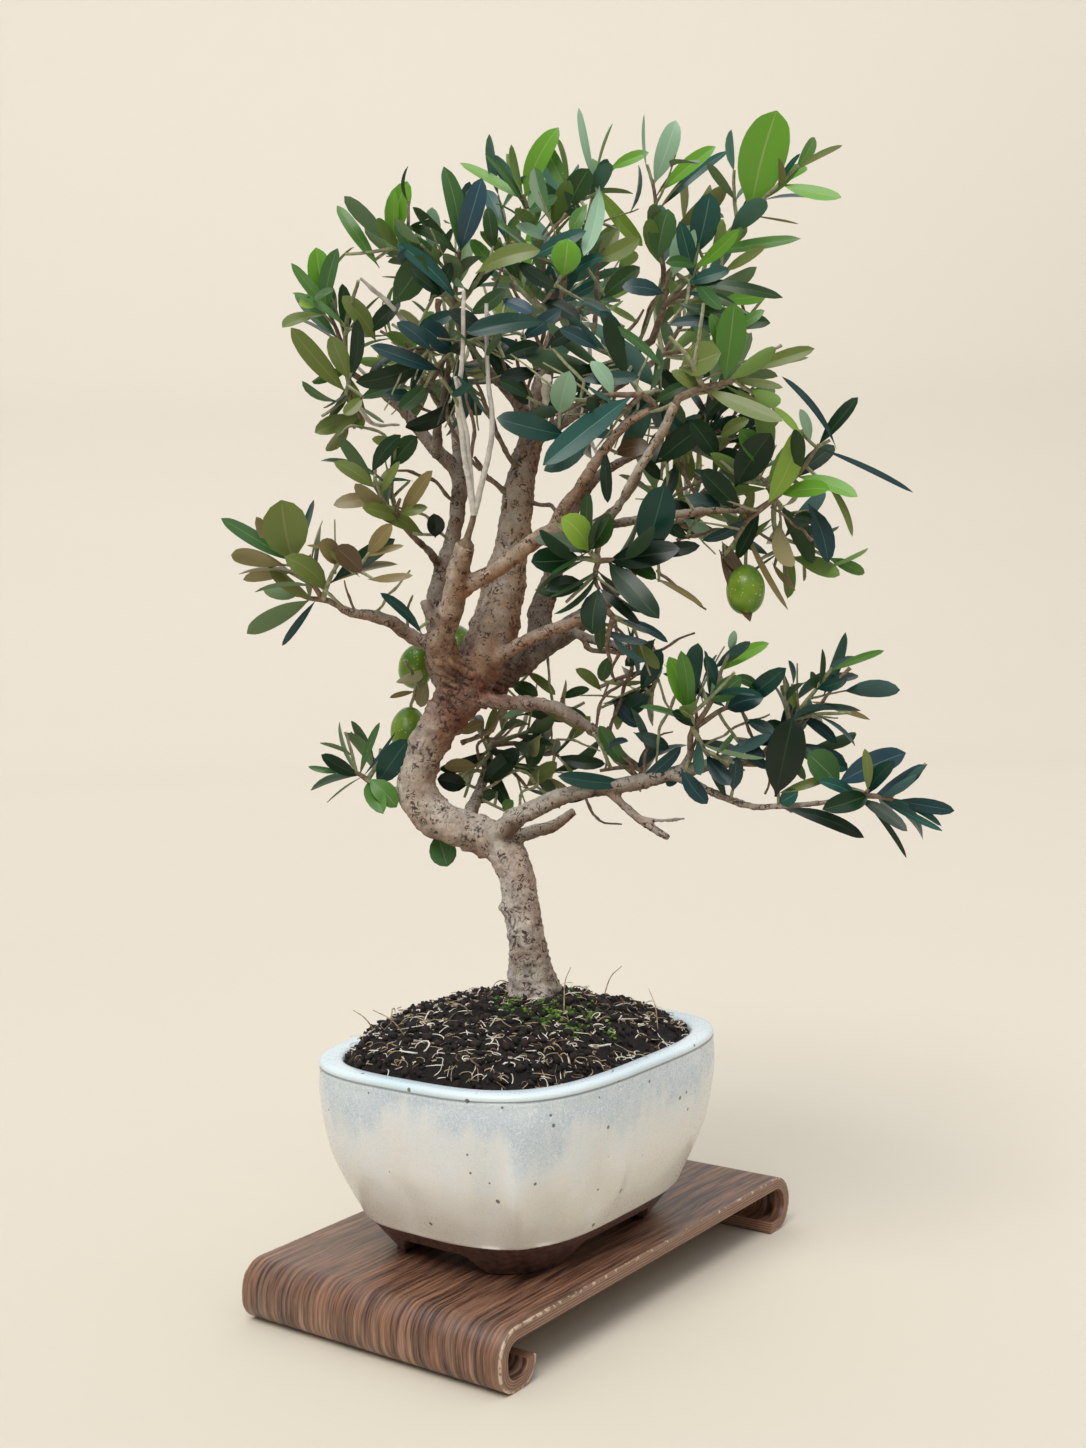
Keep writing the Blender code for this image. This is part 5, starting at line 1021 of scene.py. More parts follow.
# Bare twiglets among the boughs, by their bark: radius, then the places they pass through
fineTwigs = dict(
    brown="""
    1.1 19 24 246 28 19 244 37 14 243 46 9 242 55 4 241, 0.6 37 -6 257 39 -3 246 36 1 237 38 4 232,
    0.6 29 -10 213 32 -5 225 39 1 231 47 6 235, 0.6 26 -10 216 32 -13 209 41 -15 201 45 -18 191,
    0.9 -24 22 208 -16 18 211 -11 14 215 -8 10 223, 0.6 -28 26 204 -18 23 207 -9 21 210 0 18 216,
    0.8 9 6 304 14 3 300 16 0 295, 1 -7 10 304 -10 7 313 -15 4 320,
    0.8 16 -18 385 16 -14 378 13 -9 367 10 -4 355 4 0 339, 0.6 2 -22 396 -1 -17 390 -6 -12 380,
    0.6 22 -8 409 16 -12 402 13 -16 394, 1 -26 -20 376 -26 -18 370 -27 -16 361,
    0.8 -42 2 347 -42 10 340 -42 18 335, 0.6 82 -22 288 92 -23 286 98 -25 282 102 -26 267,
    0.7 61 -14 285 71 -19 287 82 -24 289, 0.6 109 -34 283 103 -31 289 95 -28 296,
    0.6 53 -22 274 60 -24 267 70 -26 259, 0.6 37 -18 259 40 -15 250 42 -12 240,
    0.6 47 4 235 55 2 244 68 0 250, 0.6 42 8 231 36 -1 217 32 -10 199, 0.6 63 -36 235 66 -32 215 62 -28 202,
    0.6 79 -36 229 85 -33 214 92 -30 199, 0.7 106 -24 219 97 -26 205 91 -28 190,
    0.6 123 -30 236 116 -28 228 108 -26 218 92 -24 204, 0.5 45 -20 203 49 -16 208 58 -12 213,
    0.5 24 -14 188 30 -11 179 38 -8 177, 0.6 0 12 245 7 16 251 17 20 255, 0.6 -18 8 275 -10 11 280 -4 14 284,
    0.7 -25 20 302 -30 16 310 -38 12 315 -48 8 317, 0.7 -16 -4 304 -17 -9 315 -15 -13 329 -17 -18 343,
    0.9 -2 6 315 -5 1 326 -9 -5 337 -13 -10 348, 0.8 5 8 315 3 1 330 1 -7 340 -2 -14 350,
    0.8 9 10 319 13 1 329 18 -7 338 21 -16 347, 0.7 16 8 326 23 -1 333 29 -9 338 35 -18 345,
    0.8 14 4 334 7 -2 342 3 -8 351 2 -14 362, 0.7 -13 2 315 -19 -2 322 -24 -6 332 -25 -10 340,
    0.6 29 -20 312 34 -22 318 37 -24 326 36 -26 337, 0.5 41 -42 326 32 -39 332 27 -36 337,
    0.8 70 -14 300 64 -13 312 60 -11 323 59 -10 335, 0.7 50 -22 293 57 -21 300 66 -21 305 74 -20 309,
    0.6 46 -26 285 58 -27 291 70 -27 295 83 -28 297, 0.7 33 -30 293 41 -24 300 47 -18 309 52 -12 320,
    0.7 19 -14 376 21 -13 384 19 -11 393 22 -10 400, 0.8 30 -12 361 33 -9 373 33 -7 384 36 -4 396,
    0.7 11 -8 359 8 -11 369 4 -15 376 0 -18 383, 0.6 -2 -12 350 -6 -16 358 -11 -20 362 -18 -24 366,
    0.7 49 -8 365 54 -10 374 58 -12 379 61 -14 387, 0.7 37 -14 357 45 -12 365 51 -10 372,
    0.7 -32 6 339 -34 1 348 -38 -3 356 -40 -8 363, 0.6 -44 12 340 -50 8 346 -55 4 350 -61 0 353,
    0.5 -60 -14 261 -63 -17 267 -64 -20 273, 0.6 -41 -6 254 -42 -9 261 -39 -12 267""",
    green="""
    0.5 13 28 248 12 30 234 13 32 221 12 34 203, 0.5 55 4 241 54 0 232 56 -4 224 60 -8 219,
    0.8 -18 22 207 -20 25 196 -24 28 185, 0.6 -19 26 191 -7 27 197 1 29 201 11 30 204,
    0.6 -9 18 187 -1 21 196 6 25 189 13 28 183, 0.6 -5 8 179 -1 14 187 5 20 190 7 26 197,
    0.5 12 32 202 14 28 208 23 24 207 31 20 204, 0.5 96 -54 351 85 -53 346 74 -53 342 65 -52 338,
    0.6 64 -30 239 58 -27 226 52 -25 214 51 -22 201, 0.5 66 -36 205 72 -35 211 82 -33 216 93 -32 220,
    0.6 -30 14 290 -34 11 297 -40 7 300 -47 4 301, 0.5 46 -40 324 45 -38 334 47 -36 344 52 -34 354,
    0.6 53 -48 332 64 -49 334 75 -49 337 85 -50 336, 0.6 -48 14 328 -55 11 332 -63 7 333 -68 4 329,
    0.6 -66 -18 263 -72 -19 270 -77 -19 276 -81 -20 281, 0.5 -55 -14 260 -50 -16 266 -44 -18 271 -40 -20 276,
    0.6 -45 10 242 -43 16 237 -40 22 230""",
    pale="""
    0.9 -37 8 369 -42 3 374 -50 -1 382 -56 -6 387, 0.8 -51 10 346 -56 6 352 -62 2 359,
    1.5 13 -34 344 13 -23 339 12 -12 332, 0.8 -59 -4 340 -54 6 334 -45 16 334,
    0.8 28 -30 365 29 -27 357 30 -24 348, 0.6 32 -34 316 27 -32 325 25 -30 337""",
)

# Among these are the way that the bark's painted highlight faces and how strong it is low and high on the trunk
barkSizes = dict(
    splineStep=8.5, fineStep=1.6, sides=((6, 40), (3, 24), (0, 14)), voxel=0.75, thicker=0.12, flare=1.2,
    flareHeight=16.0, lobes=0.5, rootCount=5, collar=0.12, collarLength=6.0, oldGirth=7, pits=0.6,
    ridges=0.75, lumps=0.85, rings=0.14, knots=3.6, lightFacing=(-0.55, -0.3, 0.78), paintedLight=(0.5, 0.34),
    paintedLightZ=226, forkPlace=(-16, 230), forkReach=(20, 26, 15), burrZ=231, burrReach=(20, 14),
)

# Bark by limb: the trunk is grey-brown below, pale at its elbow and red-brown where the boughs part
barkTones = dict(
    trunk=[(110, "#7b7168"), (135, "#a39a91"), (158, "#b0a398"), (172, "#a38f7f"), (184, "#ab9988"),
           (200, "#a39182"), (212, "#927867"), (222, "#80563f"), (238, "#7c4a31"), (252, "#9a7d62"),
           (275, "#a8937b"), (305, "#9c866c"), (325, "#7f5641"), (345, "#775642"), (370, "#827460")],
    bough_left="#997b60", bough_left_back="#7c6a5a", bough_left_low="#8d7666", bough_left_mid="#6c5d50",
    bough_left_stub="#6a5346", bough_cross="#a5805f", bough_right_front="#8c7c66", bough_front="#9a8e76",
    bough_right_back="#5f4f42", bough_right_up="#6c584a", bough_inner="#9a7d64", bough_low_cross="#85756a",
    bough_low_right="#776a5a", bough_low_tip="#8d7a6a", bough_low_stub="#75624f", twig_bare="#86705f",
    twig_bare_fork="#86705f", other="#6e6050",
)


def barkMaterial():
    # Olive bark: thin and smooth when young, grey to tan, broken into small dark-edged flecks with age
    made, shader, add = newMaterial("olive bark", Roughness=0.86)
    place = add("TexCoord").outputs["Object"]
    # tint carries each limb's tone with painted light and painted shade on it
    tint = add("Attribute", attribute_name="tint").outputs["Color"]
    hollow = add("Attribute", attribute_name="hollow").outputs["Fac"]
    # Mottling 6 mm across, fibres 0.8 mm, and lichen-pale patches 4 mm
    mottle = add("TexNoise", {"Vector": place, "Scale": 170.0, "Detail": 4.0, "Roughness": 0.65})
    fine = add("TexNoise", {"Vector": place, "Scale": 1300.0, "Detail": 3.0, "Roughness": 0.7})
    shade = add("ValToRGB", {0: mottle}, [(0.34, 0.6), (0.58, 1.0)])
    tone = add("Mix", {0: 0.85, 6: tint, 7: shade}, data_type="RGBA", blend_type="MULTIPLY")
    grit = add("ValToRGB", {0: fine}, [(0.3, 0.68), (0.6, 1.0)])
    tone = add("Mix", {0: 0.7, 6: tone, 7: grit}, data_type="RGBA", blend_type="MULTIPLY")
    pale = add("TexNoise", {"Vector": place, "Scale": 260.0, "Detail": 5.0, "Roughness": 0.75})
    pale = add("MapRange", {"Value": pale, 1: 0.5, 2: 0.68, 3: 0.0, 4: 0.55})
    tone = add("Mix", {0: pale, 6: tone, 7: paint("#7a736a")}, data_type="RGBA", blend_type="ADD")
    # Curly dark flecks 3 mm long, worm-like, gathered in patches 4 mm across
    curl = add("TexNoise", {"Vector": place, "Scale": 320.0, "Detail": 1.0, "Distortion": 1.3})
    worm = add("ValToRGB", {0: curl}, [(0.43, 0.0), (0.55, 0.0), (0.455, 1.0), (0.525, 1.0)])
    where = add("TexNoise", {"Vector": place, "Scale": 240.0, "Detail": 4.0, "Roughness": 0.65})
    where = add("MapRange", {"Value": where, 1: 0.5, 2: 0.56, 3: 0.0, 4: 0.88})
    worm = add("Math", {0: worm, 1: where}, operation="MULTIPLY")
    tone = add("Mix", {0: worm, 6: tone, 7: paint("#351d11")}, data_type="RGBA")
    # Cracks and pits are painted dark and warm as painted shade in the hollows
    paintedCrackShade = add("MapRange", {"Value": hollow, 1: 0.1, 2: 0.7, 3: 0.0, 4: 0.85})
    tone = add("Mix", {0: paintedCrackShade, 6: tone, 7: paint("#24150e")}, data_type="RGBA")
    bump = add("Bump", {"Height": fine, "Strength": 0.8, "Distance": 0.6 * mm})
    setInputs(shader, {"Base Color": tone, "Normal": bump})
    return made


def clamped(value):
    return max(0.0, min(1.0, value))


def limbTone(name, z):
    found = barkTones.get(name, barkTones["other"])
    if isinstance(found, str):
        return paint(found)[:3]
    levels = [level for level, _ in found]
    tones = np.array([paint(tone)[:3] for _, tone in found])
    return tuple(np.interp(z, levels, tones[:, k]) for k in range(3))


def paintedLightAndForkRed(tint, place, normal):
    # Bark is painted paler where it faces up and out toward the light, in patches, as a painted highlight, and
    # darker and redder beneath as painted shade; it is reddest at the main fork
    litShare = clamped(0.5 + 0.75 * normal.dot(barkSizes["lightFacing"]) + 0.5 * noise.noise(place / 7))
    # The side turned from the light is darkened and reddened as painted shade
    under = (1 - litShare) * 0.9
    (forkX, forkZ), (wide, deep, high) = barkSizes["forkPlace"], barkSizes["forkReach"]
    away = ((place.z - forkZ) / high) ** 2 + ((place.x - forkX) / wide) ** 2 + (place.y / deep) ** 2
    fork = math.exp(-away) * clamped(0.9 + 0.9 * noise.noise(place / 5))
    # The pale tone is a painted highlight on the lit side, weaker at the fork and higher up
    paintedLight = litShare * (1 - 0.8 * fork) * barkSizes["paintedLight"][place.z >= barkSizes["paintedLightZ"]]
    found = []
    for tone, pale, red, rust in zip(tint, paint("#e6ddd3"), (0.8, 0.57, 0.43), paint("#7d4122")):
        tone = tone * (1 - paintedLight) + pale * paintedLight
        tone *= 1 - under * (1 - red)
        found.append(tone * (1 - 0.85 * fork) + rust * 0.85 * fork)
    return found


def curveTube(path, sides):
    # A closed tube along rows of (x, y, z, radius), from a curve with a round section
    section = bpy.data.curves.new("section", "CURVE")
    spline = section.splines.new("POLY")
    spline.points.add(sides - 1)
    for i, point in enumerate(spline.points):
        angle = 2 * math.pi * (i + 0.5) / sides
        point.co = (math.cos(angle) * mm, math.sin(angle) * mm, 0, 1)
    spline.use_cyclic_u = True
    profile = bpy.data.objects.new("section", section)
    line = bpy.data.curves.new("line", "CURVE")
    line.dimensions = "3D"
    line.bevel_mode = "OBJECT"
    line.bevel_object = profile
    line.use_fill_caps = True
    spline = line.splines.new("POLY")
    spline.points.add(len(path) - 1)
    for point, (x, y, z, radius) in zip(spline.points, path):
        point.co = (x * mm, y * mm, z * mm, 1)
        point.radius = radius
    guide = addObject("line", line)
    mesh = guide.evaluated_get(bpy.context.evaluated_depsgraph_get()).to_mesh().copy()
    bpy.data.objects.remove(guide)
    bpy.data.objects.remove(profile)
    return mesh


def limbTubes():
    # Every limb is a closed tube, and samples are the places, radii and tones along their middles
    whole = bmesh.new()
    samples = []
    for name, (parent, rows) in limbs.items():
        path = smoothPath(numberRows(rows), barkSizes["fineStep"])
        lengths = np.concatenate([[0], np.cumsum(np.linalg.norm(np.diff(path[:, :3], axis=0), axis=1))])
        if parent:
            path[:, 3] *= 1 + barkSizes["collar"] * np.exp(-lengths / barkSizes["collarLength"])
        path[:, 3] += barkSizes["thicker"]
        sides = next(count for girth, count in barkSizes["sides"] if path[:, 3].max() >= girth)
        # A cut or broken end is rounded off
        end = path[-1].copy()
        end[:3] += (path[-1, :3] - path[-2, :3]) * 0.25
        end[3] *= 0.6
        mesh = curveTube(np.vstack([path, end]), sides)
        whole.from_mesh(mesh)
        bpy.data.meshes.remove(mesh)
        for row in path:
            samples.append((row[:3], row[3], limbTone(name, row[2])))
    bmesh.ops.remove_doubles(whole, verts=whole.verts, dist=1e-6)
    geom = whole.verts[:] + whole.edges[:] + whole.faces[:]
    trunkFoot, foot = soilSizes["trunkFoot"], soilSizes["topZ"] - 2.5
    cut = bmesh.ops.bisect_plane(whole, geom=geom, plane_co=(0, 0, foot * mm), plane_no=(0, 0, 1),
                                 clear_inner=True)["geom_cut"]
    bmesh.ops.edgeloop_fill(whole, edges=[item for item in cut if isinstance(item, bmesh.types.BMEdge)])
    for vert in whole.verts:
        low = 1 - max(0, vert.co.z / mm - soilSizes["topZ"]) / barkSizes["flareHeight"]
        if low > 0:
            x, y = (vert.co[i] / mm - trunkFoot[i] for i in range(2))
            lobes = 1 + barkSizes["lobes"] * math.cos(barkSizes["rootCount"] * math.atan2(y, x))
            wider = 1 + (barkSizes["flare"] - 1) * low**2 * lobes
            vert.co.xy = (trunkFoot[0] + x * wider) * mm, (trunkFoot[1] + y * wider) * mm
    bmesh.ops.recalc_face_normals(whole, faces=whole.faces)
    return whole, samples


def grownTogether(whole):
    # A fine remesh grows the limbs into one another
    holder = addObject("limbs_rough", meshFrom(whole, "limbs_rough"))
    skin = holder.modifiers.new("skin", "REMESH")
    skin.mode = "VOXEL"
    skin.voxel_size = barkSizes["voxel"] * mm
    skin.adaptivity = 0
    mesh = bpy.data.meshes.new_from_object(holder.evaluated_get(bpy.context.evaluated_depsgraph_get()))
    bpy.data.objects.remove(holder)
    bm = bmesh.new()
    bm.from_mesh(mesh)
    for _ in range(2):
        bmesh.ops.smooth_vert(bm, verts=bm.verts, factor=0.5, use_axis_x=True, use_axis_y=True, use_axis_z=True)
    bm.normal_update()
    return bm


def barkRelief(place, age):
    # How far the bark stands out at a place in mm, and how deep it lies in a pit or a crease, 0 to 1
    squashed = Vector((place.x, place.y, place.z * 0.62))
    lumps = noise.noise(place / 8) * barkSizes["lumps"] * age
    ridges = noise.ridged_multi_fractal(squashed / 3.4, 0.9, 2.1, 3, 1.0, 2.0) - 1.1
    near = noise.voronoi(squashed / 2.3 + noise.noise_vector(place / 2.5) * 0.5)[0]
    pit = max(0.0, 0.38 - near[0]) / 0.38
    pit *= clamped(0.6 + 1.1 * noise.noise(place / 9 + Vector((5, 1, 7))) - 0.35)
    crease = max(0.0, 0.1 - abs(noise.noise(squashed / 2.2 + noise.noise_vector(place / 3) * 0.7))) / 0.1
    crease *= clamped(0.45 + 1.8 * noise.noise(place / 9))
    bands = math.sin(place.z * 2.1 + 4 * noise.noise(place / 6)) * barkSizes["rings"] * age
    knot = max(0.0, noise.noise(place / 6.5 + Vector((3, 8, 2))) - 0.28) * barkSizes["knots"] * age
    # The burr where the boughs part is folded and wrinkled
    (wide, high), forkX = barkSizes["burrReach"], barkSizes["forkPlace"][0]
    away = ((place.z - barkSizes["burrZ"]) / high) ** 2 + ((place.x - forkX) / wide) ** 2
    burr = math.exp(-away) * age
    folds = noise.ridged_multi_fractal(Vector((place.x, place.y, place.z * 0.45)) / 4.5, 1.0, 2.0, 2, 1.0, 2.0)
    wrinkle = math.sin((place.z * 0.9 + place.x * 0.55) * 2.3 + 5 * noise.noise(place / 6))
    crease = max(crease, burr * max(0.0, 1.0 - folds * 1.1), burr * max(0.0, -0.1 - wrinkle) * 1.2)
    move = lumps + burr * ((folds - 1) * 1.1 + wrinkle * 0.6)
    move += ridges * barkSizes["ridges"] * (0.35 + 0.35 * age) + bands + knot
    move -= (pit * barkSizes["pits"] + crease * 0.5) * (0.25 + 0.75 * age)
    return move, min(1.0, pit + crease * 0.9) * (0.35 + 0.65 * age)


def makeLimbs():
    whole, samples = limbTubes()
    bm = grownTogether(whole)
    tree = kdtree.KDTree(len(samples))
    for i, (place, _, _) in enumerate(samples):
        tree.insert(Vector(place) * mm, i)
    tree.balance()
    hollowLayer = bm.verts.layers.float.new("hollow")
    tintLayer = bm.verts.layers.float_color.new("tint")
    moves = []
    for vert in bm.verts:
        place = vert.co / mm
        found = tree.find_n(vert.co, 4)
        weights = [1 / (gap / mm / samples[i][1]) ** 4 for _, i, gap in found]
        tint = [sum(w * samples[i][2][k] for w, (_, i, _) in zip(weights, found)) / sum(weights)
                for k in range(3)]
        # The tone gets painted light where the bark faces up and out, painted shade beneath, and red at the
        # fork
        tint = paintedLightAndForkRed(tint, place, vert.normal)
        age = min(1.0, samples[found[0][1]][1] / barkSizes["oldGirth"])
        move, vert[hollowLayer] = barkRelief(place, age)
        vert[tintLayer] = (*tint, 1)
        moves.append(vert.normal * (move - barkSizes["thicker"]) * mm)
    for vert, move in zip(bm.verts, moves):
        vert.co += move
    places = onStand(np.array([vert.co for vert in bm.verts]) / mm)
    for vert, place in zip(bm.verts, places):
        vert.co = place
    print("limbs", len(bm.faces), "faces")
    newPiece("bark", bm, [barkMaterial()], list(limbs))


# Foliage

# Sizes in millimetres and angles in degrees, shares without a unit
growth = dict(
    seed=34, stemRadius=1.5, stemLead=2.0, shootRadii=(1.15, 0.65), bow=0.08, draws=8, sideRadii=(0.85, 0.6),
    front=(0.1, -1.0, 0.35), leafLength=25.0, slender=0.29, broad=(0.78, 1.12), widest=0.45, apart=4.0,
    pairStep=18.0, petiole=5.0, angle=52, sideShoots=1, sideLength=(16, 28), margin=0.035, clearance=1.4,
    gap=0.3, boxMargin=1.3, upperZ=285, sprout=16, sprayShare=0.6,
)
finer = dict(
    seed=700, sideShoots=2.6, sideLength=(14, 32), apart=2.5, step=11.5, scale=1.2, girth=(0.55, 0.3),
    share=dict(
        foliage_left_high=0.5, foliage_left_mid=0.4, foliage_left_spray=0.35, foliage_low_left=0.3,
        foliage_low_back=0.6, foliage_low_centre=0.6, foliage_low_right_in=0.6, foliage_low_right=0.7,
        foliage_low_right_back=0.6, foliage_low_right_tip=0, foliage_front_right=0.55, foliage_right=0.5,
        foliage_top_left=0.6, foliage_top=1.0, foliage_inner_left=6, foliage_front=2, foliage_inner_right=2.4,
        foliage_front_left=0, foliage_top_right=0.3, foliage_centre=0.1,
    ),
    behind=dict(foliage_front=-44, foliage_inner_left=-22, foliage_top_left=-28, foliage_top=-26),
)

oliveSizes = dict(across=7.2, along=9.6)


def onPath(path, share):
    return np.array([np.interp(share, np.linspace(0, 1, len(path)), path[:, k]) for k in range(3)])


def densePath(path, step=1.5):
    rows = []
    for a, b in zip(path, path[1:]):
        count = max(1, round(np.linalg.norm((b - a)[:3]) / step))
        rows += [a + (b - a) * i / count for i in range(count)]
    return np.array(rows[:-2])


def leafRows(rows):
    # Each row is a leaf's root, tip, width and tone
    for row in filter(None, rows.split(",")):
        *numbers, tone = row.split()
        numbers = [float(number) for number in numbers]
        yield numbers[:3], numbers[3:6], numbers[6], tone


class Grower:
    # Grows one mass: its shoots and leaves keep to its own space and clear of the limbs

    def __init__(self, name, limbPoints):
        self.name, self.sizes = name, masses[name]
        self.own = list(masses).index(name)
        self.middles = np.array([mass["middle"] for mass in masses.values()], float)
        self.halves = np.array([mass["half"] for mass in masses.values()], float)
        self.limbPoints = limbPoints
        self.draw = random.Random(growth["seed"] + self.own)
        self.hues = random.Random(growth["seed"] * 3 + self.own)
        self.tones = self.sizes["tones"].split()
        self.share = finer["share"].get(name, 1)
        self.twigs, self.leaves, self.ribs, self.fruit = [], [], [], []
        self.apart, self.front = growth["apart"], -math.inf

    def clear(self, points):
        points = np.atleast_2d(points)
        gaps = np.linalg.norm(points[:, None] - self.limbPoints[None, :, :3], axis=2)
        return (gaps - self.limbPoints[None, :, 3]).min() > growth["clearance"]

    def fits(self, points):
        points = np.atleast_2d(points)
        reach = np.linalg.norm((points[:, None] - self.middles) / self.halves, axis=2)
        own = reach[:, self.own].copy()
        reach[:, self.own] = np.inf
        inside = (own <= 1).all() and (own + growth["margin"] <= reach.min(axis=1)).all()
        return inside and self.clear(points)

    def mainShoot(self, start, tip):
        tip = np.array(tip, float)
        bends = self.sizes.get("bends")
        for _ in range(growth["draws"]):
            off = np.array([self.draw.uniform(-1, 1) for _ in range(3)])
            off *= growth["bow"] * np.linalg.norm(tip - start)
            path = np.array([start, (start + tip) / 2 + off, tip])
            if self.clear([onPath(path, share) for share in np.linspace(0, 1, 12)]):
                break
        if bends:
            path = np.array([start, *bends[len(self.twigs) - 1], tip], float)
        self.twigs.append((np.column_stack([path, np.linspace(*growth["shootRadii"], len(path))]), "shoot"))
        return path

    def sideShoot(self, main, draw, lengths, radii, dress):
        start = onPath(main, draw.uniform(0.25, 0.9))
        along = (main[-1] - main[0]) / np.linalg.norm(main[-1] - main[0])
        off = np.array([draw.uniform(-1, 1) for _ in range(3)])
        off -= along * np.dot(off, along)
        way = along * 0.6 + off / np.linalg.norm(off) * 0.8
        tip = start + way * draw.uniform(*lengths)
        if self.fits([start + (tip - start) * share for share in (0.3, 0.6, 1)]):
            self.twigs.append((np.array([[*start, radii[0]], [*tip, radii[1]]]), "side"))
            dress(np.array([start, tip]))

    def leaf(self, root, tip, width, facing, tone=None, free=False):
        along = tip - root
        across = np.cross(along, facing)
        across *= width / 2 / np.linalg.norm(across)
        wide = root + along * growth["widest"]
        rib = np.array([root + along * share for share in (0.3, 0.5, 0.7, 0.9)])
        gaps = [np.linalg.norm(rib[:, None] - other, axis=2).min() for other in self.ribs]
        apart = min(gaps, default=self.apart) >= self.apart
        hides = min(root[1], tip[1]) < self.front
        if free or (apart and not hides and self.fits([wide + across, wide - across, tip, *rib])):
            self.leaves.append((root, tip, width, facing, tone or self.tone()))
            self.ribs.append(rib[None])

    def tone(self):
        return self.spray if self.hues.random() < growth["sprayShare"] else self.hues.choice(self.tones)

    def dress(self, path, first, scale=1.0, end=True, draw=None, step=None):
        draw, step = draw or self.draw, step or growth["pairStep"]
        self.spray = self.hues.choice(self.tones)
        along = path[-1] - path[0]
        length = np.linalg.norm(along)
        along /= length
        side = np.cross(along, (0.3, 0.2, 1))
        side /= np.linalg.norm(side)
        turn = draw.uniform(0, math.pi)
        place = first * length
        while place < length - 2:
            at = place / length
            root = onPath(path, at)
            for half in (0, math.pi):
                out = side * math.cos(turn + half) + np.cross(along, side) * math.sin(turn + half)
                angle = math.radians(growth["angle"] + draw.uniform(-12, 12))
                way = along * math.cos(angle) + out * math.sin(angle) + np.array((0, 0, 0.12))
                way /= np.linalg.norm(way)
                size = growth["leafLength"] * scale * draw.uniform(0.8, 1.12) * (1 - 0.35 * at)
                facing = along + out * draw.uniform(-0.4, 0.4)
                self.leaf(root - way * 0.4, root + way * size, size * growth["slender"], facing)
            turn += math.pi / 2
            place += step
        if end:
            size = growth["leafLength"] * scale * draw.uniform(0.6, 0.8)
            self.leaf(path[-1] - along * 0.6, path[-1] + along * size, size * growth["slender"], side)

    def nearestTwig(self, place):
        best = None
        for path in (self.twigs[0][0][1:], *(twig for twig, _ in self.twigs[1:])):
            for a, b in zip(path, path[1:]):
                span = b[:3] - a[:3]
                t = np.clip(np.dot(place - a[:3], span) / np.dot(span, span), 0.15, 0.9)
                point = a[:3] + span * t
                gap = np.linalg.norm(place - point)
                if best is None or gap < best[0]:
                    best = (gap, point)
        return best

    def showLeaf(self, root, tip, width, tone, free=False):
        root, tip = np.array(root, float), np.array(tip, float)
        gap, joint = self.nearestTwig(root)
        onLimb = np.linalg.norm(self.limbPoints[:, :3] - root, axis=1)
        if free and onLimb.min() < gap:
            gap, joint = onLimb.min(), self.limbPoints[onLimb.argmin(), :3]
        if gap > growth["petiole"]:
            self.twigs.append((np.array([[*joint, 0.7], [*(root + (tip - root) * 0.12), 0.6]]), "stalk"))
        else:
            root = joint
        across = np.cross(tip - root, growth["front"])
        self.leaf(root, tip, width, np.cross(across, tip - root), tone, free)

    def hangOlive(self, stalk, middle):
        stalk, middle = np.array(stalk, float), np.array(middle, float)
        _, joint = self.nearestTwig(stalk)
        down = (middle - stalk) / np.linalg.norm(middle - stalk)
        top = middle - down * oliveSizes["along"] * 0.8
        self.twigs.append((np.array([[*joint, 0.8], [*stalk, 0.7], [*top, 0.7]]), "stalk"))
        self.fruit.append((middle, down))

    def grow(self, limbPath):
        sizes = self.sizes
        tip, way = limbPath[-1, :3], limbPath[-1, :3] - limbPath[-2, :3]
        way = way / np.linalg.norm(way)
        heart = np.array(sizes["heart"], float)
        girth = min(limbPath[-1, 3], growth["stemRadius"])
        base = tip + way * growth["gap"]
        lead = base + way * growth["stemLead"]
        stem = np.array([[*base, girth], [*lead, girth], [*heart, growth["shootRadii"][0]]])
        self.twigs.append((stem, "stem"))
        self.joint = (limbPath[-1], way)
        mains = [self.mainShoot(heart, end) for end in sizes["shoots"]]
        for shown in leafRows(sizes.get("leaves", "")):
            self.showLeaf(*shown)
        for stalk, middle in sizes.get("fruit", ()):
            self.hangOlive(stalk, middle)
        for path in mains[sizes.get("bare", 0) :]:
            self.dress(path, 0.3, end=False)
        for _ in range(growth["sideShoots"] * len(mains)):
            main = mains[self.draw.randrange(len(mains))]
            self.sideShoot(main, self.draw, growth["sideLength"], growth["sideRadii"],
                           lambda path: self.dress(path, 0.45, 0.85))
        self.growFiner(mains[sizes.get("bare", 0) :])

    def growFiner(self, mains):
        # The same rule carried on: thinner side shoots and smaller leaves among the first ones
        if not mains:
            return
        draw = random.Random(finer["seed"] + self.own)
        self.apart, self.front = finer["apart"], finer["behind"].get(self.name, -math.inf)
        for shown in leafRows(self.sizes.get("more", "")):
            self.showLeaf(*shown, free=True)
        for path in mains:
            step = finer["step"] / max(0.6, min(1.3, self.share))
            self.dress(path, 0.42, finer["scale"], draw=draw, step=step)
        for _ in range(round(finer["sideShoots"] * self.share * len(mains))):
            main = mains[draw.randrange(len(mains))]
            self.sideShoot(main, draw, finer["sideLength"], finer["girth"],
                           lambda path: self.dress(path, 0.3, finer["scale"], draw=draw, step=finer["step"]))


# Leaves: leathery blades with a raised midrib, green above and paler beneath

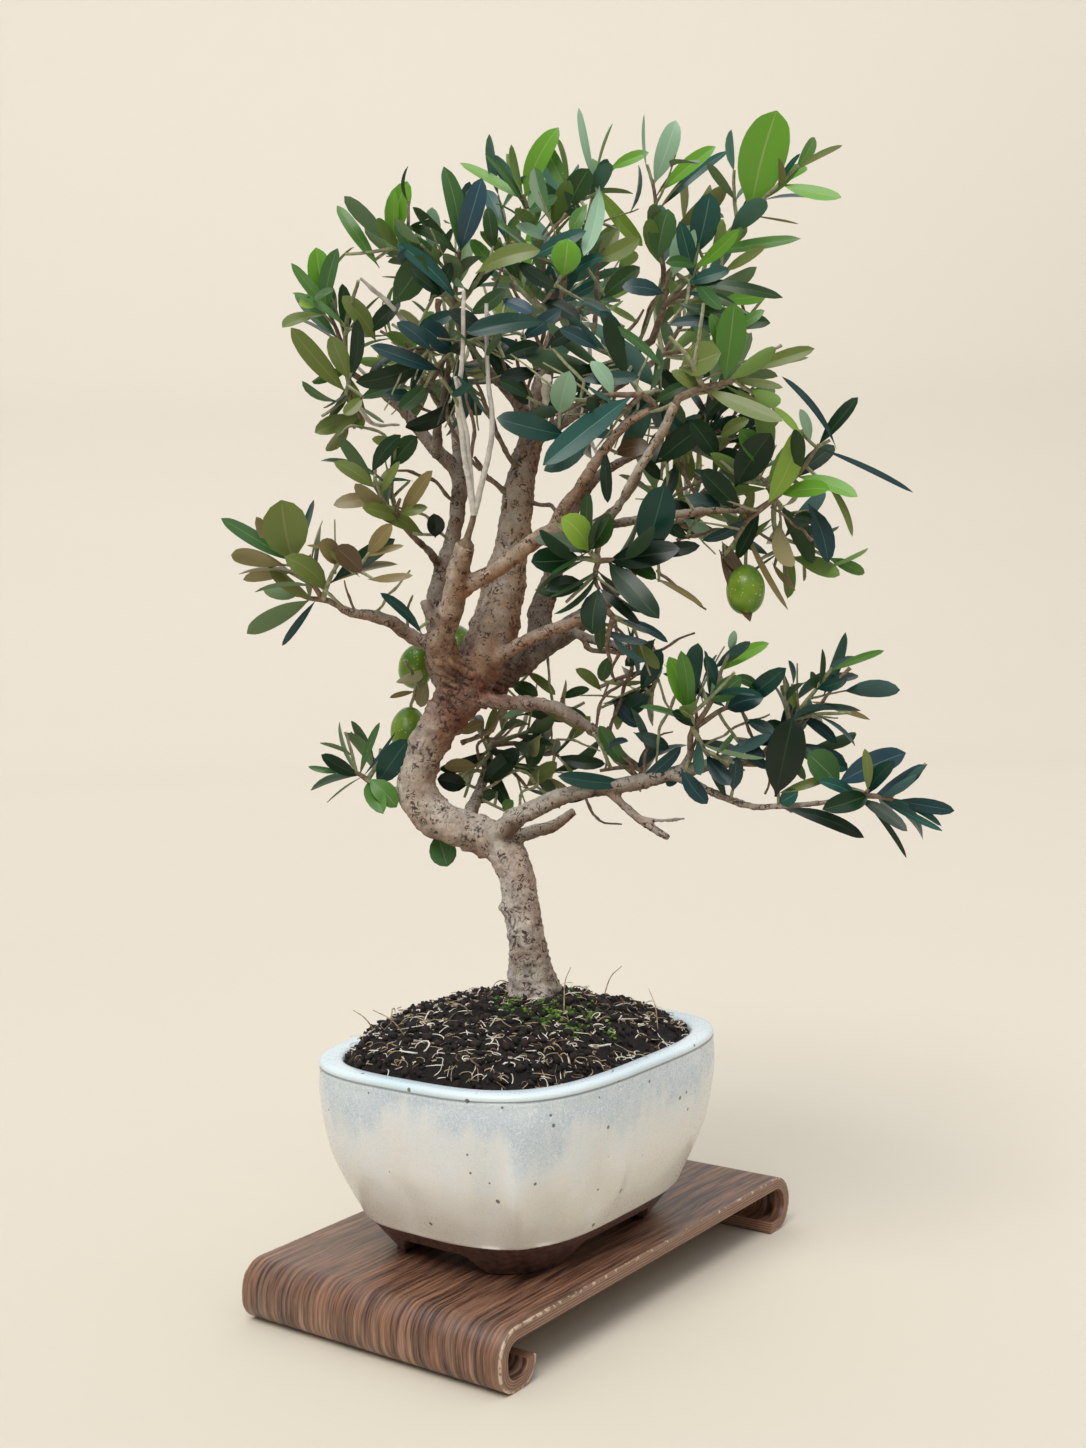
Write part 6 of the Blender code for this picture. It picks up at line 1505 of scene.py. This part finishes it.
# shade is a near-black green dealt to leaves inside the crown, a painted shade
leafTones = dict(
    fresh=("#68a030", "#8dab5c"), lime=("#88ab3f", "#9db167"), leaf=("#4c7a2e", "#6f8c46"),
    mid=("#406837", "#677f56"), olive=("#69783a", "#81854f"), deep=("#28471f", "#4b623d"),
    dark=("#143018", "#36502f"), shade=("#0b2010", "#223a22"), teal=("#1f5148", "#527d6c"),
    pine=("#0f3a30", "#33574a"), slate=("#1e3d3f", "#40605c"), blue=("#2a4a57", "#54727c"),
    mint=("#8cb092", "#a2bda3"), khaki=("#7f7247", "#8e845a"), brown=("#5a4831", "#6f5f45"),
)


def leafMaterials():
    # Each tone has a waxy upper side and a matt, paler underside, which the midrib shares
    made, index = [], {}
    for name, (upper, under) in leafTones.items():
        for side, tone, rough in (("upper", upper, 0.33), ("under", under, 0.6)):
            index[name, side] = len(made)
            made.append(newMaterial(f"olive leaf {name} {side}", Roughness=rough, IOR=1.45,
                                    Specular_IOR_Level=0.4, Base_Color=paint(tone))[0])
    return made, index


leafShape = dict(
    rows=(0.0, 0.05, 0.14, 0.3, 0.47, 0.64, 0.8, 0.93, 1.0),
    widths=(0.07, 0.09, 0.36, 0.77, 0.97, 1.0, 0.86, 0.52, 0.04),
    largeRows=(0.0, 0.04, 0.09, 0.15, 0.22, 0.3, 0.39, 0.48, 0.57, 0.66, 0.74, 0.81, 0.87, 0.92, 0.96,
               0.985, 1.0),
    columns=(-1, -0.55, -0.045, 0.045, 0.55, 1), fold=0.16, thick=0.3, large=24,
)


def leafWidths(rows):
    # The blade's half-width at each share of its length, on a smooth curve through the few given
    known, widths = np.array(leafShape["rows"]), np.array(leafShape["widths"])
    slopes = np.gradient(widths, known)
    slopes[0] = slopes[1] = 0.5
    found = []
    for share in rows:
        i = min(np.searchsorted(known, share, "right") - 1, len(known) - 2)
        span = known[i + 1] - known[i]
        t = (share - known[i]) / span
        found.append(widths[i] * (1 + 2 * t) * (1 - t) ** 2 + widths[i + 1] * t * t * (3 - 2 * t)
                     + span * t * (1 - t) * (slopes[i] * (1 - t) - slopes[i + 1] * t))
    return found


def addLeaf(heap, index, root, tip, width, facing, tone, draw):
    along = tip - root
    length = np.linalg.norm(along)
    along = along / length
    across = np.cross(along, facing)
    across /= np.linalg.norm(across)
    up = np.cross(across, along)
    width *= draw.uniform(*growth["broad"]) if width < 0.31 * length else 1
    droop = draw.uniform(-0.02, 0.13) * length
    swing = draw.uniform(-0.06, 0.06) * length
    twist = draw.uniform(-0.25, 0.25)
    fold = draw.uniform(0.4, 1.3) * leafShape["fold"]
    upper, under = [], []
    profile = leafShape["largeRows" if length > leafShape["large"] else "rows"]
    for share, wide in zip(profile, leafWidths(profile)):
        bend = 4 * share * (1 - share)
        middle = root + along * length * share + up * droop * bend * 0.8 + across * swing * bend
        turn = twist * (share - 0.3)
        side = across * math.cos(turn) + up * math.sin(turn)
        rise = up * math.cos(turn) - across * math.sin(turn)
        half = width / 2 * wide
        for column in leafShape["columns"]:
            lift = abs(column) * fold * half * 2 - (abs(column) > 0.9) * half * fold * 0.5
            lift += 0.12 * (abs(column) < 0.1)
            upper.append(middle + side * column * half + rise * lift)
        under.append(middle - rise * leafShape["thick"] * (0.4 + 0.6 * wide))
    columns, rows = len(leafShape["columns"]), len(profile)
    faces, slots = [], []
    top, bottom = index[tone, "upper"], index[tone, "under"]
    base = rows * columns
    for k in range(rows - 1):
        for i in range(columns - 1):
            a = k * columns + i
            faces.append((a, a + 1, a + 1 + columns, a + columns))
            slots.append(bottom if i == columns // 2 - 1 and k < rows - 2 else top)
        first, last = k * columns, k * columns + columns - 1
        faces.append((base + k, first, first + columns, base + k + 1))
        faces.append((last, base + k, base + k + 1, last + columns))
        slots += [bottom, bottom]
    faces.append((*range(columns)[::-1], base))
    faces.append((*range((rows - 1) * columns, rows * columns), base + rows - 1))
    slots += [top, top]
    heap.add(onStand(upper + under), faces, slots)


def oliveMaterial():
    # Unripe olives: green and glossy with pale specks 0.5 mm across, paler where the sun has caught them
    made, shader, add = newMaterial("unripe olive skin", Roughness=0.3, IOR=1.45)
    place = add("TexCoord").outputs["Object"]
    blush = add("TexNoise", {"Vector": place, "Scale": 90.0, "Detail": 2.0})
    skin = add("ValToRGB", {0: blush}, [(0.35, "#3f6d1b"), (0.7, "#84a02c")])
    cells = add("TexVoronoi", {"Vector": place, "Scale": 700.0}).outputs["Distance"]
    speck = add("Math", {0: cells, 1: 0.16}, operation="LESS_THAN")
    skin = add("Mix", {0: speck, 6: skin, 7: paint("#c3cf8a")}, data_type="RGBA")
    setInputs(shader, {"Base Color": skin})
    return made


def makeOlives(fruit):
    bm = bmesh.new()
    for middle, down in fruit:
        grown = bmesh.ops.create_uvsphere(bm, u_segments=28, v_segments=20, radius=1)["verts"]
        for vert in grown:
            narrow = 1 - 0.1 * vert.co.z * abs(vert.co.z)
            dimple = 0.06 * math.exp(-((vert.co.x**2 + vert.co.y**2) / 0.05)) * (vert.co.z > 0)
            vert.co.x *= oliveSizes["across"] * narrow
            vert.co.y *= oliveSizes["across"] * narrow
            vert.co.z = (vert.co.z - dimple) * oliveSizes["along"]
        turn = Vector((0, 0, -1)).rotation_difference(Vector(down))
        bmesh.ops.rotate(bm, matrix=turn.to_matrix(), verts=grown)
        for vert in grown:
            vert.co = Vector(onStand(np.array(vert.co) + middle))
    newPiece("olives", bm, [oliveMaterial()])


def withinBox(places):  # twigs keep a radius inside the solids' box
    low, high = np.array(cadBox) + [[growth["boxMargin"] * mm], [-growth["boxMargin"] * mm]]
    return np.clip(places, low, high)


def addTwig(region, path, sides, slot):
    path[:, :3] = withinBox(onStand(path[:, :3]))
    path[:, 3] *= mm
    addTube(region[2], path, sides, slot)


def makeTwiglets(regions, limbPoints):
    # Each sprouts from the limb nearest to its first place, tapers, and has buds
    for slot, bark in enumerate(("green", "brown", "pale")):
        for girth, *numbers in numberRows(fineTwigs[bark]):
            points = np.reshape(numbers, (-1, 3))
            gaps = np.linalg.norm(limbPoints[:, :3] - points[0], axis=1)
            first = limbPoints[gaps.argmin(), :3] if gaps.min() < growth["sprout"] else points[0]
            path = np.array([[*first, girth * 1.15], *([*point, girth] for point in points[1:])])
            path[-1, 3] *= 0.6
            fine = smoothPath(path, 2.0)
            wobble = np.array([noise.noise_vector(Vector(row[:3]) / 7 + Vector((girth, 3, 8))) for row in fine])
            fine[1:, :3] += wobble[1:] * 1.3
            fine[::4, 3] *= 1.25
            region = regions["upper" if points[0][2] > growth["upperZ"] else "lower"]
            addTwig(region, fine, 6, slot)


def makeFoliage():
    # Leaves and twigs are two pieces each, above and below upperZ
    paths = {name: smoothPath(numberRows(rows), barkSizes["splineStep"]) for name, (_, rows) in limbs.items()}
    limbPoints = np.vstack([densePath(path) for path in paths.values()])
    materials, index = leafMaterials()
    woods = [plainMaterial("young olive shoot, green", "#6f7350", "#a3a683", 500.0, 0.7),
             plainMaterial("olive shoot, brown", "#5b4a3b", "#8f7a66", 500.0, 0.8),
             plainMaterial("olive shoot, pale bark", "#b8b2a7", "#e4dfd6", 300.0, 0.7, 0.2)]
    regions = dict(upper=([], Heap(), Heap()), lower=([], Heap(), Heap()))
    makeTwiglets(regions, limbPoints)
    fruit, draw, counts = [], random.Random(growth["seed"] * 7), [0, 0]
    for name, sizes in masses.items():
        grower = Grower(name, limbPoints)
        grower.grow(paths[sizes["limb"]])
        region = regions["upper" if sizes["middle"][2] > growth["upperZ"] else "lower"]
        region[0].append(name)
        pale = "bare" in sizes
        for k, (path, kind) in enumerate(grower.twigs):
            path = path.copy()
            if kind == "stem":
                end, way = grower.joint
                path = np.vstack([[*(end[:3] - way * 3), end[3] * 0.95], path])
                path[1, 3] = max(path[1, 3], end[3] * 0.85)
            if pale and kind == "shoot":
                path[:, 3] *= 1.15
            fine = smoothPath(path, 2.5)
            if kind in ("side", "shoot"):
                bow = np.sin(np.linspace(0, math.pi, len(fine)))[:, None]
                fine[:, :3] += bow * np.array([draw.uniform(-1, 1) for _ in range(3)]) * 0.9
            wobble = np.array([noise.noise_vector(Vector(row[:3]) / 6) for row in fine]) * 0.35
            wobble[0] = wobble[-1] = 0
            fine[:, :3] += wobble
            kinds = dict(stem=1, shoot=1 if k % 2 else 0, side=0, stalk=0)
            slot = 2 if pale and kind == "shoot" else kinds[kind]
            addTwig(region, fine, 7 if kind in ("stem", "shoot") else 5, slot)
        for leaf in grower.leaves:
            addLeaf(region[1], index, *leaf, draw)
        fruit += grower.fruit
        counts[0] += len(grower.leaves)
        counts[1] += len(grower.twigs)
    for key, (names, leaves, twigs) in regions.items():
        newPiece(f"leaves_{key}", leaves.mesh(f"leaves_{key}"), materials, names, sharp=50)
        newPiece(f"twigs_{key}", twigs.mesh(f"twigs_{key}"), woods, sharp=60)
    makeOlives(fruit)
    faces = sum(len(leaves.faces) for _, leaves, _ in regions.values())
    print("foliage", counts[0], "leaves", counts[1], "twigs", faces, "faces")


# Studio: a pale floor that curves up all round, soft light from above and the left, and the camera

studio = dict(
    radius=2.4, sweep=0.7, wall=1.7, steps=10, sky=0.62, key=1.82, top=0.76, front=1.19,
    tones=[(0.0, "#dad2c2"), (0.979, "#d9d3c7"), (0.167, "#d5cdbe"), (0.298, "#d3cbbe"), (0.438, "#d1cabd"),
           (0.521, "#cfc8bc"), (0.594, "#cdc6ba"), (0.646, "#cdc7bb"), (0.71, "#d0cabf"), (0.758, "#d5cfc4"),
           (0.812, "#dad4c9")],
)
cameraSizes = dict(place=(380.34, -551.69, 256.73), azimuth=36.234, down=3.466, roll=-1.379, lens=43.02)


def makeStudio():
    made, shader, add = newMaterial("painted studio floor", Roughness=0.95, Specular_IOR_Level=0.1)
    # The paint is toned by the distance along the floor and up the wall, so that it looks even
    place = add("TexCoord").outputs["Object"]
    level = add("VectorMath", {0: place, 1: (1, 1, 0)}, operation="MULTIPLY")
    reach = add("VectorMath", {0: level}, operation="LENGTH").outputs["Value"]
    height = add("SeparateXYZ", {0: place}).outputs[2]
    along = add("Math", {0: reach, 1: height}, operation="ADD")
    radius, sweep, wall = studio["radius"], studio["sweep"], studio["wall"]
    along = add("Math", {0: along, 1: radius + sweep + wall}, operation="DIVIDE")
    setInputs(shader, {"Base Color": add("ValToRGB", {0: along}, studio["tones"])})
    bm = bmesh.new()
    profile = [(0.001, 0), (0.3, 0), (0.8, 0), (radius, 0)]
    for i in range(1, studio["steps"] + 1):
        angle = math.pi / 2 * i / studio["steps"]
        profile.append((radius + sweep * math.sin(angle), sweep * (1 - math.cos(angle))))
    profile.append((radius + sweep, wall))
    verts = [bm.verts.new((x, 0, z)) for x, z in profile]
    edges = [bm.edges.new(pair) for pair in zip(verts, verts[1:])]
    bmesh.ops.spin(bm, geom=verts + edges, cent=(0, 0, 0), axis=(0, 0, 1), angle=2 * math.pi, steps=64,
                   use_merge=True)
    hole = [edge for edge in bm.edges if edge.is_boundary and edge.verts[0].co.z < 0.1]
    bmesh.ops.contextual_create(bm, geom=hole)
    bmesh.ops.recalc_face_normals(bm, faces=bm.faces)
    if sum(face.normal.z for face in bm.faces if face.calc_center_median().z < 0.01) < 0:
        bmesh.ops.reverse_faces(bm, faces=bm.faces)
    mesh = meshFrom(bm, "studio_floor")
    mesh.shade_smooth()
    mesh.materials.append(made)
    floor = addObject("studio_floor", mesh)
    floor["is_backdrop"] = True


def fromFront(x, y, z):  # right of, behind and above the tree, as the camera sees it
    return onStand((x, y, z)) / mm + np.array((-placing["shift"][0], -placing["shift"][1], 0))


def makeLight(name, kind, way, power, hexColour, size):
    # A lamp that shines from a direction on the tree's middle, as wide as its size
    lamp = bpy.data.lights.new(name, kind)
    lamp.energy = power
    lamp.color = paint(hexColour)[:3]
    light = addObject(name, lamp)
    place = Vector(fromFront(*way))
    if kind == "SUN":
        lamp.angle = math.radians(size)
    else:
        lamp.shape = "DISK"
        lamp.size = size
    light.location = place
    light.rotation_euler = place.to_track_quat("Z", "Y").to_euler()


def makeLights():
    world = bpy.data.worlds.new("studio")
    bpy.context.scene.world = world
    world.use_nodes = True
    world.node_tree.nodes["Background"].inputs[0].default_value = paint("#f3f5f8")
    world.node_tree.nodes["Background"].inputs[1].default_value = studio["sky"]
    makeLight("key", "SUN", (-0.4, -1.0, 1.75), studio["key"], "#fffcf8", 34)
    makeLight("front", "SUN", (0.6, -1.0, 0.3), studio["front"], "#fdfeff", 26)
    makeLight("top", "SUN", (0.35, 0.5, 1.6), studio["top"], "#eef5ff", 100)


def makeCamera():
    turn, down, roll = (math.radians(cameraSizes[key]) for key in ("azimuth", "down", "roll"))
    ahead = Vector((-math.sin(turn) * math.cos(down), math.cos(turn) * math.cos(down), -math.sin(down)))
    level = ahead.cross(Vector((0, 0, 1))).normalized()
    upright = level.cross(ahead)
    right = level * math.cos(roll) + upright * math.sin(roll)
    up = upright * math.cos(roll) - level * math.sin(roll)
    lens = bpy.data.cameras.new("camera")
    lens.lens = cameraSizes["lens"]
    lens.sensor_width = 36
    lens.clip_start = 0.01
    camera = addObject("camera", lens)
    axes = Matrix((right, up, -ahead)).transposed().to_4x4()
    camera.matrix_world = Matrix.Translation(Vector(cameraSizes["place"]) * mm) @ axes
    bpy.context.scene.camera = camera


scene = bpy.context.scene
scene.view_settings.view_transform = "Standard"
makeCamera()
makeLights()
makeStudio()
makeStand()
makePot()
surface = makeSoil()
soilDraw = random.Random(soilSizes["seed"])
makeCrumbs(surface, soilDraw)
makeRootlets(surface, soilDraw)
makeMoss(surface, soilDraw)
makeLimbs()
makeFoliage()

visualBox = [list(corner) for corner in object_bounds()]
print("box", [[round(c / mm, 1) for c in corner] for corner in cadBox + visualBox])
